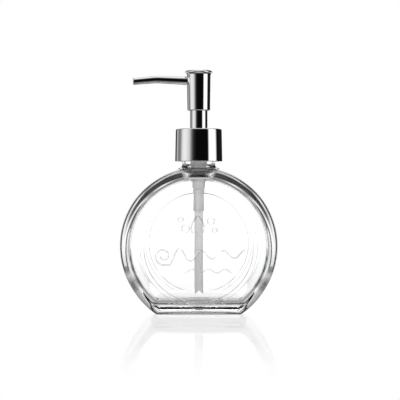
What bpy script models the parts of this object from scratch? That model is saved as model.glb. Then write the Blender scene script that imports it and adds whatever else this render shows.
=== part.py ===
"""Soap pump dispenser: a round glass flask with a screw-on lotion pump.

Metres, +Z up. The origin is the middle of the flask's base. The flask's round faces look
along +Y and -Y, and the nozzle points along -X.

The pump's axis is the Z axis, so every turned piece keeps its origin on it. Pieces that move
together hang from one empty, which stands on their joint's axis.
"""
import math

import bmesh
import bpy
from mathutils import Matrix, Vector

MM = 0.001

# ---------------------------------------------------------------- driving dimensions
# Clearances
GAP = 0.3 * MM                 # between pieces that touch, and between pieces that slide
SNUG_GAP = 0.15 * MM           # between a tube and the socket that grips it
VALVE_GAP = 0.1 * MM           # between the ball and its seat
SHELL_GAP = 0.4 * MM           # between the cap and the bright shell round it
CUT_OVERSHOOT = 1.0 * MM       # how far a cutter reaches past what it cuts

# Flask: a disc lying across Y, cut flat underneath
DISC_RADIUS = 56.3 * MM
DISC_CENTRE_Z = 48.0 * MM      # height of the disc's centre above the base
DISC_DEPTH = 52.0 * MM
SIDE_WALL = 3.8 * MM
FACE_WALL = 3.6 * MM
BASE_WALL = 6.3 * MM
EDGE_INSET = 7.3 * MM          # how far the rounded edge comes in from the outline
EDGE_BAND = 12.0 * MM          # straight rim between the front and back rounded edges
HEEL_INSET = 5.0 * MM          # the same rounding where the flask meets its base
HEEL_BAND = 24.0 * MM          # width of the flat base
HEEL_CORNER = 3.0 * MM         # radius of the base's two ends
HOLLOW_INSET = 7.0 * MM        # the rounded edge of the hollow inside
HOLLOW_BAND = 7.0 * MM         # straight part between its two rounded edges
HOLLOW_CORNER = 5.0 * MM       # where the hollow's floor meets its sides
MEDALLION_RADIUS = 40.8 * MM   # round panel pressed into each face
MEDALLION_SLOPE = 3.1 * MM
MEDALLION_RECESS = 0.9 * MM
PUSH_UP_LENGTH = 46.0 * MM     # hollow in the underside
PUSH_UP_WIDTH = 15.0 * MM
PUSH_UP_HEIGHT = 1.0 * MM

# Neck finish and screw thread
NECK_HEIGHT = 17.2 * MM        # above the top of the disc
FINISH_RADIUS = 12.5 * MM      # under the thread
FINISH_HEIGHT = 12.0 * MM      # the wider part that carries the thread
NECK_STEP = 0.8 * MM           # the neck below the collar is this much narrower
NECK_WALL = 2.0 * MM
NECK_FLARE = 3.0 * MM          # sideways, where the neck runs into the shoulder
NECK_FLARE_HEIGHT = 3.6 * MM
NECK_FLARE_BELOW_FINISH = 2.6 * MM
LIP_ROUND = 0.7 * MM
THREAD_LEAD = 25.4 * MM / 6
THREAD_TURNS = 1.25
THREAD_HEIGHT = 1.2 * MM
THREAD_START = 3.5 * MM        # above the finish's lower edge
THREAD_ROOT_WIDTH = 2.2 * MM
THREAD_CREST_WIDTH = 1.0 * MM
CAP_THREAD_ROOT_WIDTH = 1.6 * MM
CAP_THREAD_CREST_WIDTH = 0.7 * MM
THREAD_CLEARANCE = 0.5 * MM    # radial, crest to wall

# Closure: a threaded plastic cap inside a bright shell
GASKET_THICKNESS = 1.2 * MM
FLANGE_THICKNESS = 1.6 * MM    # pump housing's flange, clamped on the neck
CAP_WALL = 1.5 * MM
CAP_PLATE = 1.6 * MM
SHELL_SKIRT = 13.5 * MM        # how far the shell reaches below the neck's top
SHELL_HEADROOM = 2.55 * MM     # over the sleeve's foot
SHELL_RISE = 1.0 * MM          # the top climbs this much towards the sleeve
SHELL_DRAFT = 0.45 * MM        # the bottom's radius is this much more than the top's
SHELL_WALL = 0.55 * MM
SHELL_EDGE_ROUND = 0.6 * MM
SHELL_HEM_ROUND = 0.3 * MM
SHELL_LIP = 2.0 * MM           # rolled in under the cap's skirt

# Guide sleeve, its chaplet and the stem's seal
SLEEVE_RADIUS = 6.3 * MM
SLEEVE_WALL = 0.5 * MM
SLEEVE_FOOT_WIDTH = 2.1 * MM
SLEEVE_FOOT = 0.6 * MM
SLEEVE_IN_HEAD = 5.3 * MM      # hidden inside the head at rest
CHAPLET_RIM = 0.5 * MM         # the chaplet's flange reaches past the sleeve's foot
CHAPLET_FLANGE = 2.1 * MM
CHAPLET_SKIRT = 3.6 * MM       # reaches into the housing
CHAPLET_BELOW_SLEEVE_TOP = 1.6 * MM
SEAL_HEIGHT = 1.5 * MM
SEAL_WIDTH = 1.65 * MM

# Pump housing, top to bottom
BARREL_RADIUS = 6.1 * MM
BARREL_WALL = 0.9 * MM
BARREL_CHAMFER = 1.0 * MM
SPRING_LEDGE = 0.9 * MM        # the barrel's floor, which carries the spring
VALVE_BODY_LENGTH = 6.6 * MM
VALVE_BODY_WALL = 1.55 * MM
GROOVE_LENGTH = 1.6 * MM
GROOVE_WALL = 0.75 * MM
BEAD_HEIGHT = 2.3 * MM
BEAD_WIDTH = 0.6 * MM
SOCKET_TOP_WALL = 0.38 * MM
SOCKET_BOTTOM_WALL = 0.75 * MM
SOCKET_LENGTH = 12.9 * MM
INLET_RADIUS = 1.5 * MM
INLET_LENGTH = 2.4 * MM
SEAT_HEIGHT = 1.8 * MM         # cone that the ball closes
BALL_RADIUS = 2.4 * MM
BALL_CHAMBER_GAP = 0.7 * MM
BALL_LIFT = 1.5 * MM
BALL_RIB_COUNT = 3
BALL_RIB_THICKNESS = 0.8 * MM
BALL_RIB_REACH = 1.1 * MM

# Plunger
STROKE = 11.0 * MM
STROKE_SPARE = 1.4 * MM        # left between the head and the collar at full stroke
STEM_RADIUS = 2.75 * MM
STEM_BORE_RADIUS = 1.6 * MM
STEM_SHOULDER_WIDTH = 0.95 * MM
STEM_SHOULDER = 0.6 * MM
STEM_PORT_RADIUS = 0.7 * MM
PISTON_LENGTH = 3.6 * MM
PISTON_LIP = 0.9 * MM
PISTON_WAIST = 0.7 * MM        # the waist is this much inside the lips
PLUG_INSET = 1.0 * MM          # the plug's head is this much inside the barrel's bore
PLUG_THICKNESS = 1.4 * MM
PLUG_PRONG = 2.0 * MM
SPRING_WIRE = 0.7 * MM
SPRING_COILS = 7
SPRING_COIL_GAP = 0.035 * MM   # between the closed turns at each end
SPRING_ROOM = 6.9 * MM         # left for the pressed spring at full stroke

# Dip tube
DIP_TUBE_RADIUS = 3.15 * MM
DIP_TUBE_WALL = 0.65 * MM
DIP_TUBE_ABOVE_FLOOR = 6.0 * MM
DIP_TUBE_NOTCH = 3.0 * MM      # depth of the V cut in its end

# Head and nozzle
HEAD_WALL = 0.8 * MM
CORE_SKIRT_WALL = 0.5 * MM
CORE_SKIRT_INSET = 0.5 * MM    # the core's skirt ends this far inside the shell
HEAD_TAPER = 0.35 * MM         # the head's radius grows this much on its way up
HEAD_LIP_WIDTH = 1.7 * MM      # the trumpet lip stands out this much
HEAD_LIP_BELOW_TOP = 1.5 * MM
HEAD_FLARE_BELOW_TOP = 3.2 * MM
HEAD_LIP_EDGE = 0.3 * MM
HEAD_CHAMFER = 1.1 * MM        # from the lip in to the flat that the hand presses
HEAD_FACE_WALL = 1.0 * MM
HEAD_HEM_ROUND = 0.4 * MM
STEM_SOCKET = 3.4 * MM
NOZZLE_ABOVE_CEILING = 4.8 * MM
NOZZLE_BELOW_TOP = 7.2 * MM
NOZZLE_RISE_DEG = 2.6
NOZZLE_DROP_DEG = 5.0
NOZZLE_FIRST_RUN = 22.2 * MM   # along X, from the head's side to the bend
NOZZLE_REACH = 39.0 * MM       # along X, from the head's side to the tip
NOZZLE_BEND_HALF = 2.5 * MM
NOZZLE_ROOT_RADIUS = 3.15 * MM
NOZZLE_TIP_RADIUS = 2.55 * MM
NOZZLE_WALL = 0.45 * MM
NOZZLE_SOCKET_FLOOR = 2.0 * MM # plastic left between the stem's bore and the nozzle's end
LINER_WALL = 0.45 * MM
LINER_INSET = 0.8 * MM         # the liner ends this far inside the tip
CHANNEL_RADIUS = 1.4 * MM

# Fineness of the round surfaces
FINE = 40
MEDIUM = 28
COARSE = 20
DISC_ARC_STEPS = 44
DISC_BASE_STEPS = 8
CORNER_STEPS = 3
THREAD_STEPS_PER_TURN = 24
SPRING_STEPS_PER_TURN = 14

# ---------------------------------------------------------------- sizes that follow
HALF_DEPTH = DISC_DEPTH / 2
HOLLOW_HALF_DEPTH = HALF_DEPTH - FACE_WALL - MEDALLION_RECESS
EDGE_DEPTH = HALF_DEPTH - EDGE_BAND / 2
HEEL_DEPTH = HALF_DEPTH - HEEL_BAND / 2
HOLLOW_DEPTH = HOLLOW_HALF_DEPTH - HOLLOW_BAND / 2
SHOULDER_Z = DISC_CENTRE_Z + DISC_RADIUS
NECK_TOP_Z = SHOULDER_Z + NECK_HEIGHT
FINISH_BOTTOM_Z = NECK_TOP_Z - FINISH_HEIGHT
NECK_RADIUS = FINISH_RADIUS - NECK_STEP
NECK_BORE_RADIUS = NECK_RADIUS - NECK_WALL

GASKET_BOTTOM_Z = NECK_TOP_Z + GAP
FLANGE_BOTTOM_Z = GASKET_BOTTOM_Z + GASKET_THICKNESS + GAP
FLANGE_TOP_Z = FLANGE_BOTTOM_Z + FLANGE_THICKNESS
FLANGE_RADIUS = FINISH_RADIUS + THREAD_CLEARANCE

CHAPLET_FLANGE_Z = FLANGE_TOP_Z + GAP
CHAPLET_FLANGE_TOP_Z = CHAPLET_FLANGE_Z + CHAPLET_FLANGE
SLEEVE_FOOT_RADIUS = SLEEVE_RADIUS + SLEEVE_FOOT_WIDTH
CHAPLET_FLANGE_RADIUS = SLEEVE_FOOT_RADIUS + CHAPLET_RIM
CHAPLET_BOTTOM_Z = CHAPLET_FLANGE_Z - CHAPLET_SKIRT
SLEEVE_BORE_RADIUS = SLEEVE_RADIUS - SLEEVE_WALL
SLEEVE_BOTTOM_Z = CHAPLET_FLANGE_TOP_Z + GAP
STEM_GUIDE_RADIUS = STEM_RADIUS + GAP
SEAL_OUTER_RADIUS = STEM_RADIUS + SEAL_WIDTH

CAP_CREST_RADIUS = FINISH_RADIUS + THREAD_CLEARANCE
CAP_BORE_RADIUS = FINISH_RADIUS + THREAD_HEIGHT + THREAD_CLEARANCE
CAP_RADIUS = CAP_BORE_RADIUS + CAP_WALL
CAP_HOLE_RADIUS = CHAPLET_FLANGE_RADIUS + GAP
CAP_PLATE_Z = FLANGE_TOP_Z + GAP
CAP_TOP_Z = CAP_PLATE_Z + CAP_PLATE
SHELL_BOTTOM_Z = NECK_TOP_Z - SHELL_SKIRT
SHELL_EDGE_Z = SLEEVE_BOTTOM_Z + SLEEVE_FOOT + SHELL_HEADROOM + SHELL_WALL
SHELL_TOP_Z = SHELL_EDGE_Z + SHELL_RISE
SHELL_TOP_RADIUS = CAP_RADIUS + SHELL_GAP + SHELL_WALL
SHELL_BOTTOM_RADIUS = SHELL_TOP_RADIUS + SHELL_DRAFT
CAP_BOTTOM_Z = SHELL_BOTTOM_Z + SHELL_WALL + GAP

# The head stands a full stroke above the collar, and the sleeve reaches up into it
HEAD_BOTTOM_Z = SHELL_TOP_Z + STROKE + STROKE_SPARE
SLEEVE_TOP_Z = HEAD_BOTTOM_Z + SLEEVE_IN_HEAD
CHAPLET_TOP_Z = SLEEVE_TOP_Z - CHAPLET_BELOW_SLEEVE_TOP
CORE_CEILING_Z = SLEEVE_TOP_Z + STROKE + GAP
STEM_TOP_Z = CORE_CEILING_Z + STEM_SOCKET
NOZZLE_ROOT_Z = CORE_CEILING_Z + NOZZLE_ABOVE_CEILING
HEAD_TOP_Z = NOZZLE_ROOT_Z + NOZZLE_BELOW_TOP
HEAD_LIP_Z = HEAD_TOP_Z - HEAD_LIP_BELOW_TOP
HEAD_FLARE_Z = HEAD_TOP_Z - HEAD_FLARE_BELOW_TOP
CORE_RADIUS = SLEEVE_RADIUS + GAP + CORE_SKIRT_WALL
HEAD_BOTTOM_RADIUS = CORE_RADIUS + GAP + HEAD_WALL
HEAD_NECK_RADIUS = HEAD_BOTTOM_RADIUS + HEAD_TAPER
HEAD_LIP_RADIUS = HEAD_NECK_RADIUS + HEAD_LIP_WIDTH
HEAD_FACE_RADIUS = HEAD_LIP_RADIUS - HEAD_CHAMFER
NOZZLE_SOCKET_X = -(STEM_BORE_RADIUS + NOZZLE_SOCKET_FLOOR)
NOZZLE_BEND_X = -(HEAD_BOTTOM_RADIUS + NOZZLE_FIRST_RUN)
NOZZLE_TIP_X = -(HEAD_BOTTOM_RADIUS + NOZZLE_REACH)

# The plunger hangs under the chaplet, and the barrel is as long as its stroke needs
STEM_SHOULDER_RADIUS = STEM_RADIUS + STEM_SHOULDER_WIDTH
STEM_SHOULDER_TOP_Z = CHAPLET_BOTTOM_Z - GAP
STEM_SHOULDER_Z = STEM_SHOULDER_TOP_Z - STEM_SHOULDER
PISTON_TOP_Z = STEM_SHOULDER_Z - GAP
PISTON_BOTTOM_Z = PISTON_TOP_Z - PISTON_LENGTH
PLUG_TOP_Z = PISTON_BOTTOM_Z - GAP
PLUG_BOTTOM_Z = PLUG_TOP_Z - PLUG_THICKNESS
STEM_BOTTOM_Z = PLUG_TOP_Z + GAP
BARREL_BORE_RADIUS = BARREL_RADIUS - BARREL_WALL
PLUG_RADIUS = BARREL_BORE_RADIUS - PLUG_INSET
SPRING_RADIUS = PLUG_RADIUS - SPRING_WIRE / 2
SPRING_LEDGE_Z = PLUG_BOTTOM_Z - STROKE - SPRING_ROOM
BARREL_BOTTOM_Z = SPRING_LEDGE_Z - SPRING_LEDGE

BALL_CHAMBER_RADIUS = BALL_RADIUS + BALL_CHAMBER_GAP
VALVE_BODY_RADIUS = BALL_CHAMBER_RADIUS + VALVE_BODY_WALL
VALVE_BODY_BOTTOM_Z = BARREL_BOTTOM_Z - VALVE_BODY_LENGTH
GROOVE_RADIUS = BALL_CHAMBER_RADIUS + GROOVE_WALL
GROOVE_BOTTOM_Z = VALVE_BODY_BOTTOM_Z - GROOVE_LENGTH
BEAD_BOTTOM_Z = GROOVE_BOTTOM_Z - BEAD_HEIGHT
SOCKET_BOTTOM_Z = BEAD_BOTTOM_Z - SOCKET_LENGTH
SOCKET_BORE_RADIUS = DIP_TUBE_RADIUS + SNUG_GAP
SOCKET_TOP_RADIUS = SOCKET_BORE_RADIUS + SOCKET_TOP_WALL
SOCKET_BOTTOM_RADIUS = SOCKET_BORE_RADIUS + SOCKET_BOTTOM_WALL
BEAD_RADIUS = SOCKET_TOP_RADIUS + BEAD_WIDTH
INLET_BOTTOM_Z = BEAD_BOTTOM_Z - GAP
SEAT_BOTTOM_Z = INLET_BOTTOM_Z + INLET_LENGTH
SEAT_TOP_Z = SEAT_BOTTOM_Z + SEAT_HEIGHT
DIP_TUBE_END_Z = BASE_WALL + DIP_TUBE_ABOVE_FLOOR


# ---------------------------------------------------------------- tools for shapes
def clear_scene():
    for old in list(bpy.data.objects):
        bpy.data.objects.remove(old, do_unlink=True)


def material(name, colour, roughness, metallic=0.0, alpha=1.0):
    made = bpy.data.materials.new(name)
    made.use_nodes = True
    shader = made.node_tree.nodes["Principled BSDF"]
    shader.inputs["Base Color"].default_value = (*colour, 1.0)
    shader.inputs["Roughness"].default_value = roughness
    shader.inputs["Metallic"].default_value = metallic
    shader.inputs["Alpha"].default_value = alpha
    made.diffuse_color = (*colour, alpha)
    return made


def world_place(item):
    """Where an empty stands, through all the empties that it hangs from."""
    place = Vector((0, 0, 0))
    while item:
        place += item.location
        item = item.parent
    return place


def add_object(name, bm, finish=None, parent=None, sharp_deg=35):
    """Turns a bmesh into a named object; a piece that moves keeps its origin on its parent."""
    bmesh.ops.recalc_face_normals(bm, faces=bm.faces)
    mesh = bpy.data.meshes.new(name)
    bm.to_mesh(mesh)
    bm.free()
    mesh.shade_smooth()
    mesh.set_sharp_from_angle(angle=math.radians(sharp_deg))
    made = bpy.data.objects.new(name, mesh)
    bpy.context.scene.collection.objects.link(made)
    if finish:
        mesh.materials.append(finish)
    if parent:
        mesh.transform(Matrix.Translation(-world_place(parent)))
        made.parent = parent
    return made


def add_joint_empty(name, place, parent=None):
    made = bpy.data.objects.new(name, None)
    made.empty_display_size = 0.01
    bpy.context.scene.collection.objects.link(made)
    made.location = place
    if parent:
        made.parent = parent
        made.location = Vector(place) - world_place(parent)
    return made


def round_corner(before, corner, after, radius, steps=3):
    """Points of the arc that rounds one corner of a profile."""
    corner = Vector(corner)
    to_before = (Vector(before) - corner).normalized()
    to_after = (Vector(after) - corner).normalized()
    half = to_before.angle(to_after) / 2
    centre = corner + (to_before + to_after).normalized() * (radius / math.sin(half))
    first = (corner + to_before * (radius / math.tan(half)) - centre).normalized()
    last = (corner + to_after * (radius / math.tan(half)) - centre).normalized()
    return [tuple(centre + first.slerp(last, i / steps) * radius) for i in range(steps + 1)]


def turn(profile, steps=MEDIUM):
    """Spins a closed outline of (radius, z) points round the Z axis into a solid."""
    bm = bmesh.new()
    verts = [bm.verts.new((radius, 0, z)) for radius, z in profile]
    edges = [bm.edges.new((a, b)) for a, b in zip(verts, verts[1:] + verts[:1])
             if a.co.x > 0 or b.co.x > 0]
    bmesh.ops.spin(bm, geom=verts + edges, axis=(0, 0, 1), cent=(0, 0, 0),
                   angle=2 * math.pi, steps=steps, use_merge=True)
    bmesh.ops.remove_doubles(bm, verts=bm.verts, dist=1e-7)
    return bm


def sweep(path, sections, closed_ends=True):
    """Joins one cross-section, a list of (side, up) points, to the next along a path.

    The path holds (place, side, up) frames; sections holds one list of points for each.
    """
    bm = bmesh.new()
    rings = []
    for (place, side, up), section in zip(path, sections):
        rings.append([bm.verts.new(place + side * s + up * u) for s, u in section])
    for near, far in zip(rings, rings[1:]):
        for i in range(len(near)):
            j = (i + 1) % len(near)
            bm.faces.new((near[i], near[j], far[j], far[i]))
    if closed_ends:
        bm.faces.new(rings[0])
        bm.faces.new(rings[-1])
    return bm


def circle_points(radius, steps):
    return [(radius * math.cos(2 * math.pi * i / steps), radius * math.sin(2 * math.pi * i / steps))
            for i in range(steps)]


def cut(target, cutters, operation="DIFFERENCE"):
    """Adds one exact Boolean for each cutter and hides the cutters."""
    for cutter in cutters:
        step = target.modifiers.new(cutter.name, "BOOLEAN")
        step.operation = operation
        step.solver = "EXACT"
        step.object = cutter
        cutter.hide_render = True
        cutter.display_type = "WIRE"


def rod_cutter(name, start, end, radius, steps=COARSE, parent=None):
    """A plain rod between two points, for drilling holes."""
    start = Vector(start)
    end = Vector(end)
    axis = (end - start).normalized()
    side = axis.orthogonal().normalized()
    up = axis.cross(side)
    ring = circle_points(radius, steps)
    bm = sweep([(start, side, up), (end, side, up)], [ring, ring])
    return add_object(name, bm, parent=parent)


def helix_ridge(root_radius, crest_radius, root_width, crest_width, start_z):
    """A thread of trapezoid section that climbs one lead a turn and fades at both ends."""
    path = []
    sections = []
    steps = round(THREAD_TURNS * THREAD_STEPS_PER_TURN)
    fade_steps = 3
    for i in range(steps + 1):
        angle = 2 * math.pi * i / THREAD_STEPS_PER_TURN
        height = start_z + THREAD_LEAD * i / THREAD_STEPS_PER_TURN
        outward = Vector((math.cos(angle), math.sin(angle), 0))
        path.append((Vector((0, 0, height)), outward, Vector((0, 0, 1))))
        strength = min(1, (i + 1) / fade_steps, (steps - i + 1) / fade_steps)
        crest = root_radius + (crest_radius - root_radius) * strength
        sections.append([(root_radius, -root_width / 2), (crest, -crest_width / 2),
                         (crest, crest_width / 2), (root_radius, root_width / 2)])
    return sweep(path, sections)


# ---------------------------------------------------------------- flask
def disc_outline(radius, floor_z, corner):
    """Points (x, z) of a circle with a flat floor and rounded corners, seen from the front."""
    corner_z = floor_z + corner
    corner_x = math.sqrt((radius - corner) ** 2 - (DISC_CENTRE_Z - corner_z) ** 2)
    low = math.atan2(corner_z - DISC_CENTRE_Z, corner_x)
    points = []
    for i in range(DISC_ARC_STEPS + 1):
        angle = low + (math.pi - 2 * low) * i / DISC_ARC_STEPS
        points.append((radius * math.cos(angle), DISC_CENTRE_Z + radius * math.sin(angle)))
    left = []
    corner_steps = CORNER_STEPS + round(corner / (6 * MM))
    for i in range(1, corner_steps + 1):
        angle = low + (-math.pi / 2 - low) * i / corner_steps
        left.append((-corner_x - corner * math.cos(angle), corner_z + corner * math.sin(angle)))
    floor = [(corner_x * (2 * i / DISC_BASE_STEPS - 1), floor_z) for i in range(1, DISC_BASE_STEPS)]
    right = [(-x, z) for x, z in reversed(left)]
    return points + left + floor + right, low


def smooth_step(value):
    value = max(0.0, min(1.0, value))
    return value * value * (3 - 2 * value)


def disc_solid(radius, floor_z, half_depth, edge, heel, corner, face_rings):
    """A round-edged disc across Y with a flat floor.

    edge and heel are (inset, depth) of the rounding at the sides and at the floor;
    face_rings are (radius, drop) circles between the face's centre and its edge.
    """
    outline, low = disc_outline(radius, floor_z, corner)
    heel_blend = math.radians(24)
    edge_steps = 4
    rings = []

    def ring(inset_share, depth_share):
        points = []
        for x, z in outline:
            offset = Vector((x, z - DISC_CENTRE_Z))
            angle = math.atan2(offset.y, abs(offset.x))
            blend = smooth_step((angle - low) / heel_blend)
            inset = heel[0] + (edge[0] - heel[0]) * blend
            depth = heel[1] + (edge[1] - heel[1]) * blend
            inner = offset - offset.normalized() * inset * inset_share
            points.append((inner.x, half_depth - depth * (1 - depth_share), inner.y + DISC_CENTRE_Z))
        return points

    for i in range(edge_steps + 1):
        angle = math.pi / 2 * i / edge_steps
        rings.append(ring(1 - math.cos(angle), math.sin(angle)))
    for face_radius, drop in face_rings:
        points = []
        for x, z in outline:
            direction = Vector((x, z - DISC_CENTRE_Z)).normalized() * face_radius
            points.append((direction.x, half_depth - drop, direction.y + DISC_CENTRE_Z))
        rings.append(points)

    bm = bmesh.new()
    front = [[bm.verts.new((x, -y, z)) for x, y, z in points] for points in rings]
    back = [[bm.verts.new((x, y, z)) for x, y, z in points] for points in rings]
    strips = list(reversed(front)) + back
    for near, far in zip(strips, strips[1:]):
        for i in range(len(near)):
            j = (i + 1) % len(near)
            bm.faces.new((near[i], near[j], far[j], far[i]))
    last_drop = face_rings[-1][1]
    for side, last in ((-1, strips[0]), (1, strips[-1])):
        middle = bm.verts.new((0, side * (half_depth - last_drop), DISC_CENTRE_Z))
        for i in range(len(last)):
            bm.faces.new((last[i], last[(i + 1) % len(last)], middle))
    return bm


def make_bottle(finish):
    medallion_foot = MEDALLION_RADIUS - MEDALLION_SLOPE
    bottle = add_object("bottle", disc_solid(
        DISC_RADIUS, 0, HALF_DEPTH, (EDGE_INSET, EDGE_DEPTH), (HEEL_INSET, HEEL_DEPTH), HEEL_CORNER,
        [(MEDALLION_RADIUS, 0), (medallion_foot, MEDALLION_RECESS)]), finish)

    # The neck flares into the shoulder, and its foot stands inside the glass.
    foot_z = SHOULDER_Z - SIDE_WALL
    flare_top_z = FINISH_BOTTOM_Z - NECK_FLARE_BELOW_FINISH
    flare_radius = NECK_RADIUS + NECK_FLARE
    flare = []
    for i in range(5):
        angle = math.pi / 2 * i / 4
        flare.append((flare_radius - NECK_FLARE * math.sin(angle),
                      flare_top_z - NECK_FLARE_HEIGHT * math.cos(angle)))
    neck = [(0, NECK_TOP_Z), (0, foot_z), (flare_radius, foot_z)] + flare
    neck += [(NECK_RADIUS, FINISH_BOTTOM_Z - (FINISH_RADIUS - NECK_RADIUS)),
             (FINISH_RADIUS, FINISH_BOTTOM_Z)]
    neck += round_corner((FINISH_RADIUS, FINISH_BOTTOM_Z), (FINISH_RADIUS, NECK_TOP_Z),
                         (0, NECK_TOP_Z), LIP_ROUND)
    neck_solid = add_object("cut_neck", turn(neck, FINE))
    thread = add_object("cut_bottle_thread", helix_ridge(
        FINISH_RADIUS - GAP, FINISH_RADIUS + THREAD_HEIGHT, THREAD_ROOT_WIDTH, THREAD_CREST_WIDTH,
        FINISH_BOTTOM_Z + THREAD_START))
    cut(bottle, [neck_solid, thread], "UNION")

    # The hollow: a smaller disc, and the bore that opens it through the neck.
    inner_radius = DISC_RADIUS - SIDE_WALL
    hollow = add_object("cut_hollow", disc_solid(
        inner_radius, BASE_WALL, HOLLOW_HALF_DEPTH,
        (HOLLOW_INSET, HOLLOW_DEPTH), (HOLLOW_INSET, HOLLOW_DEPTH), HOLLOW_CORNER,
        [(inner_radius / 2, 0)]))
    bore_foot_z = DISC_CENTRE_Z + inner_radius - HOLLOW_INSET
    mouth_z = NECK_TOP_Z + CUT_OVERSHOOT
    bore = [(0, mouth_z), (0, bore_foot_z), (NECK_BORE_RADIUS, bore_foot_z)]
    bore += [(NECK_BORE_RADIUS, NECK_TOP_Z - LIP_ROUND), (NECK_BORE_RADIUS + LIP_ROUND, NECK_TOP_Z)]
    bore += [(NECK_BORE_RADIUS + LIP_ROUND, mouth_z)]
    bore_solid = add_object("cut_bore", turn(bore, FINE))

    # The underside is pressed up, so the flask rests on a rim.
    half_length = PUSH_UP_LENGTH / 2
    half_width = PUSH_UP_WIDTH / 2
    bm = bmesh.new()
    bmesh.ops.create_uvsphere(bm, u_segments=MEDIUM, v_segments=12, radius=1)
    bmesh.ops.scale(bm, vec=(half_length, half_width, PUSH_UP_HEIGHT), verts=bm.verts)
    push_up = add_object("cut_push_up", bm)
    cut(bottle, [hollow, bore_solid, push_up])
    return bottle


# ---------------------------------------------------------------- closure
def make_closure(parent, cap_finish, shell_finish):
    cap = add_object("closure_cap", turn([
        (CAP_HOLE_RADIUS, CAP_TOP_Z), (CAP_HOLE_RADIUS, CAP_PLATE_Z), (CAP_BORE_RADIUS, CAP_PLATE_Z),
        (CAP_BORE_RADIUS, CAP_BOTTOM_Z), (CAP_RADIUS, CAP_BOTTOM_Z), (CAP_RADIUS, CAP_TOP_Z),
    ], FINE), cap_finish, parent)
    ridge = add_object("cut_cap_thread", helix_ridge(
        CAP_BORE_RADIUS + GAP, CAP_CREST_RADIUS, CAP_THREAD_ROOT_WIDTH, CAP_THREAD_CREST_WIDTH,
        FINISH_BOTTOM_Z + THREAD_START - THREAD_LEAD / 2), parent=parent)
    cut(cap, [ridge], "UNION")

    hole_radius = SLEEVE_RADIUS + GAP
    top_z = SHELL_TOP_Z
    edge_z = SHELL_EDGE_Z
    inner_top = SHELL_TOP_RADIUS - SHELL_WALL
    inner_bottom = SHELL_BOTTOM_RADIUS - SHELL_WALL
    profile = [(hole_radius, top_z), (hole_radius, top_z - SHELL_WALL)]
    profile += [(inner_top, edge_z - SHELL_WALL)]
    profile += [(inner_bottom, SHELL_BOTTOM_Z + SHELL_WALL)]
    profile += [(SHELL_BOTTOM_RADIUS - SHELL_LIP, SHELL_BOTTOM_Z + SHELL_WALL)]
    profile += [(SHELL_BOTTOM_RADIUS - SHELL_LIP, SHELL_BOTTOM_Z)]
    profile += round_corner(profile[-1], (SHELL_BOTTOM_RADIUS, SHELL_BOTTOM_Z),
                            (SHELL_TOP_RADIUS, edge_z), SHELL_HEM_ROUND, 2)
    profile += round_corner((SHELL_BOTTOM_RADIUS, SHELL_BOTTOM_Z), (SHELL_TOP_RADIUS, edge_z),
                            (hole_radius, top_z), SHELL_EDGE_ROUND)
    add_object("collar_shell", turn(profile, FINE), shell_finish, parent)


# ---------------------------------------------------------------- fixed pump pieces
def make_gasket(parent, finish):
    add_object("neck_gasket", turn([
        (BARREL_RADIUS + GAP, GASKET_BOTTOM_Z),
        (FINISH_RADIUS, GASKET_BOTTOM_Z),
        (FINISH_RADIUS, GASKET_BOTTOM_Z + GASKET_THICKNESS),
        (BARREL_RADIUS + GAP, GASKET_BOTTOM_Z + GASKET_THICKNESS),
    ]), finish, parent)


def make_housing(parent, finish):
    outside = [(FLANGE_RADIUS, FLANGE_TOP_Z), (FLANGE_RADIUS, FLANGE_BOTTOM_Z),
               (BARREL_RADIUS, FLANGE_BOTTOM_Z), (BARREL_RADIUS, BARREL_BOTTOM_Z),
               (VALVE_BODY_RADIUS, BARREL_BOTTOM_Z - BARREL_CHAMFER),
               (VALVE_BODY_RADIUS, VALVE_BODY_BOTTOM_Z),
               (GROOVE_RADIUS, VALVE_BODY_BOTTOM_Z - GAP), (GROOVE_RADIUS, GROOVE_BOTTOM_Z),
               (BEAD_RADIUS, GROOVE_BOTTOM_Z - GAP), (BEAD_RADIUS, BEAD_BOTTOM_Z + GAP),
               (SOCKET_TOP_RADIUS, BEAD_BOTTOM_Z), (SOCKET_BOTTOM_RADIUS, SOCKET_BOTTOM_Z)]
    inside = [(SOCKET_BORE_RADIUS, SOCKET_BOTTOM_Z), (SOCKET_BORE_RADIUS, INLET_BOTTOM_Z),
              (INLET_RADIUS, INLET_BOTTOM_Z), (INLET_RADIUS, SEAT_BOTTOM_Z),
              (BALL_CHAMBER_RADIUS, SEAT_TOP_Z), (BALL_CHAMBER_RADIUS, SPRING_LEDGE_Z),
              (BARREL_BORE_RADIUS, SPRING_LEDGE_Z), (BARREL_BORE_RADIUS, FLANGE_TOP_Z)]
    housing = add_object("pump_housing", turn(outside + inside), finish, parent)

    # Three ribs keep the ball in its chamber.
    rib_z = ball_centre_z() + BALL_RADIUS + BALL_LIFT + VALVE_GAP
    outer = BALL_CHAMBER_RADIUS + GAP
    inner = outer - GAP - BALL_RIB_REACH
    ribs = []
    for i in range(BALL_RIB_COUNT):
        bm = bmesh.new()
        bmesh.ops.create_cube(bm, size=1)
        bmesh.ops.scale(bm, vec=(outer - inner, BALL_RIB_THICKNESS, BALL_RIB_THICKNESS), verts=bm.verts)
        bmesh.ops.translate(bm, vec=((outer + inner) / 2, 0, rib_z + BALL_RIB_THICKNESS / 2),
                            verts=bm.verts)
        bmesh.ops.rotate(bm, matrix=Matrix.Rotation(2 * math.pi * i / BALL_RIB_COUNT, 3, "Z"),
                         cent=(0, 0, 0), verts=bm.verts)
        ribs.append(add_object("cut_ball_rib_%d" % (i + 1), bm, parent=parent))
    cut(housing, ribs, "UNION")


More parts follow.
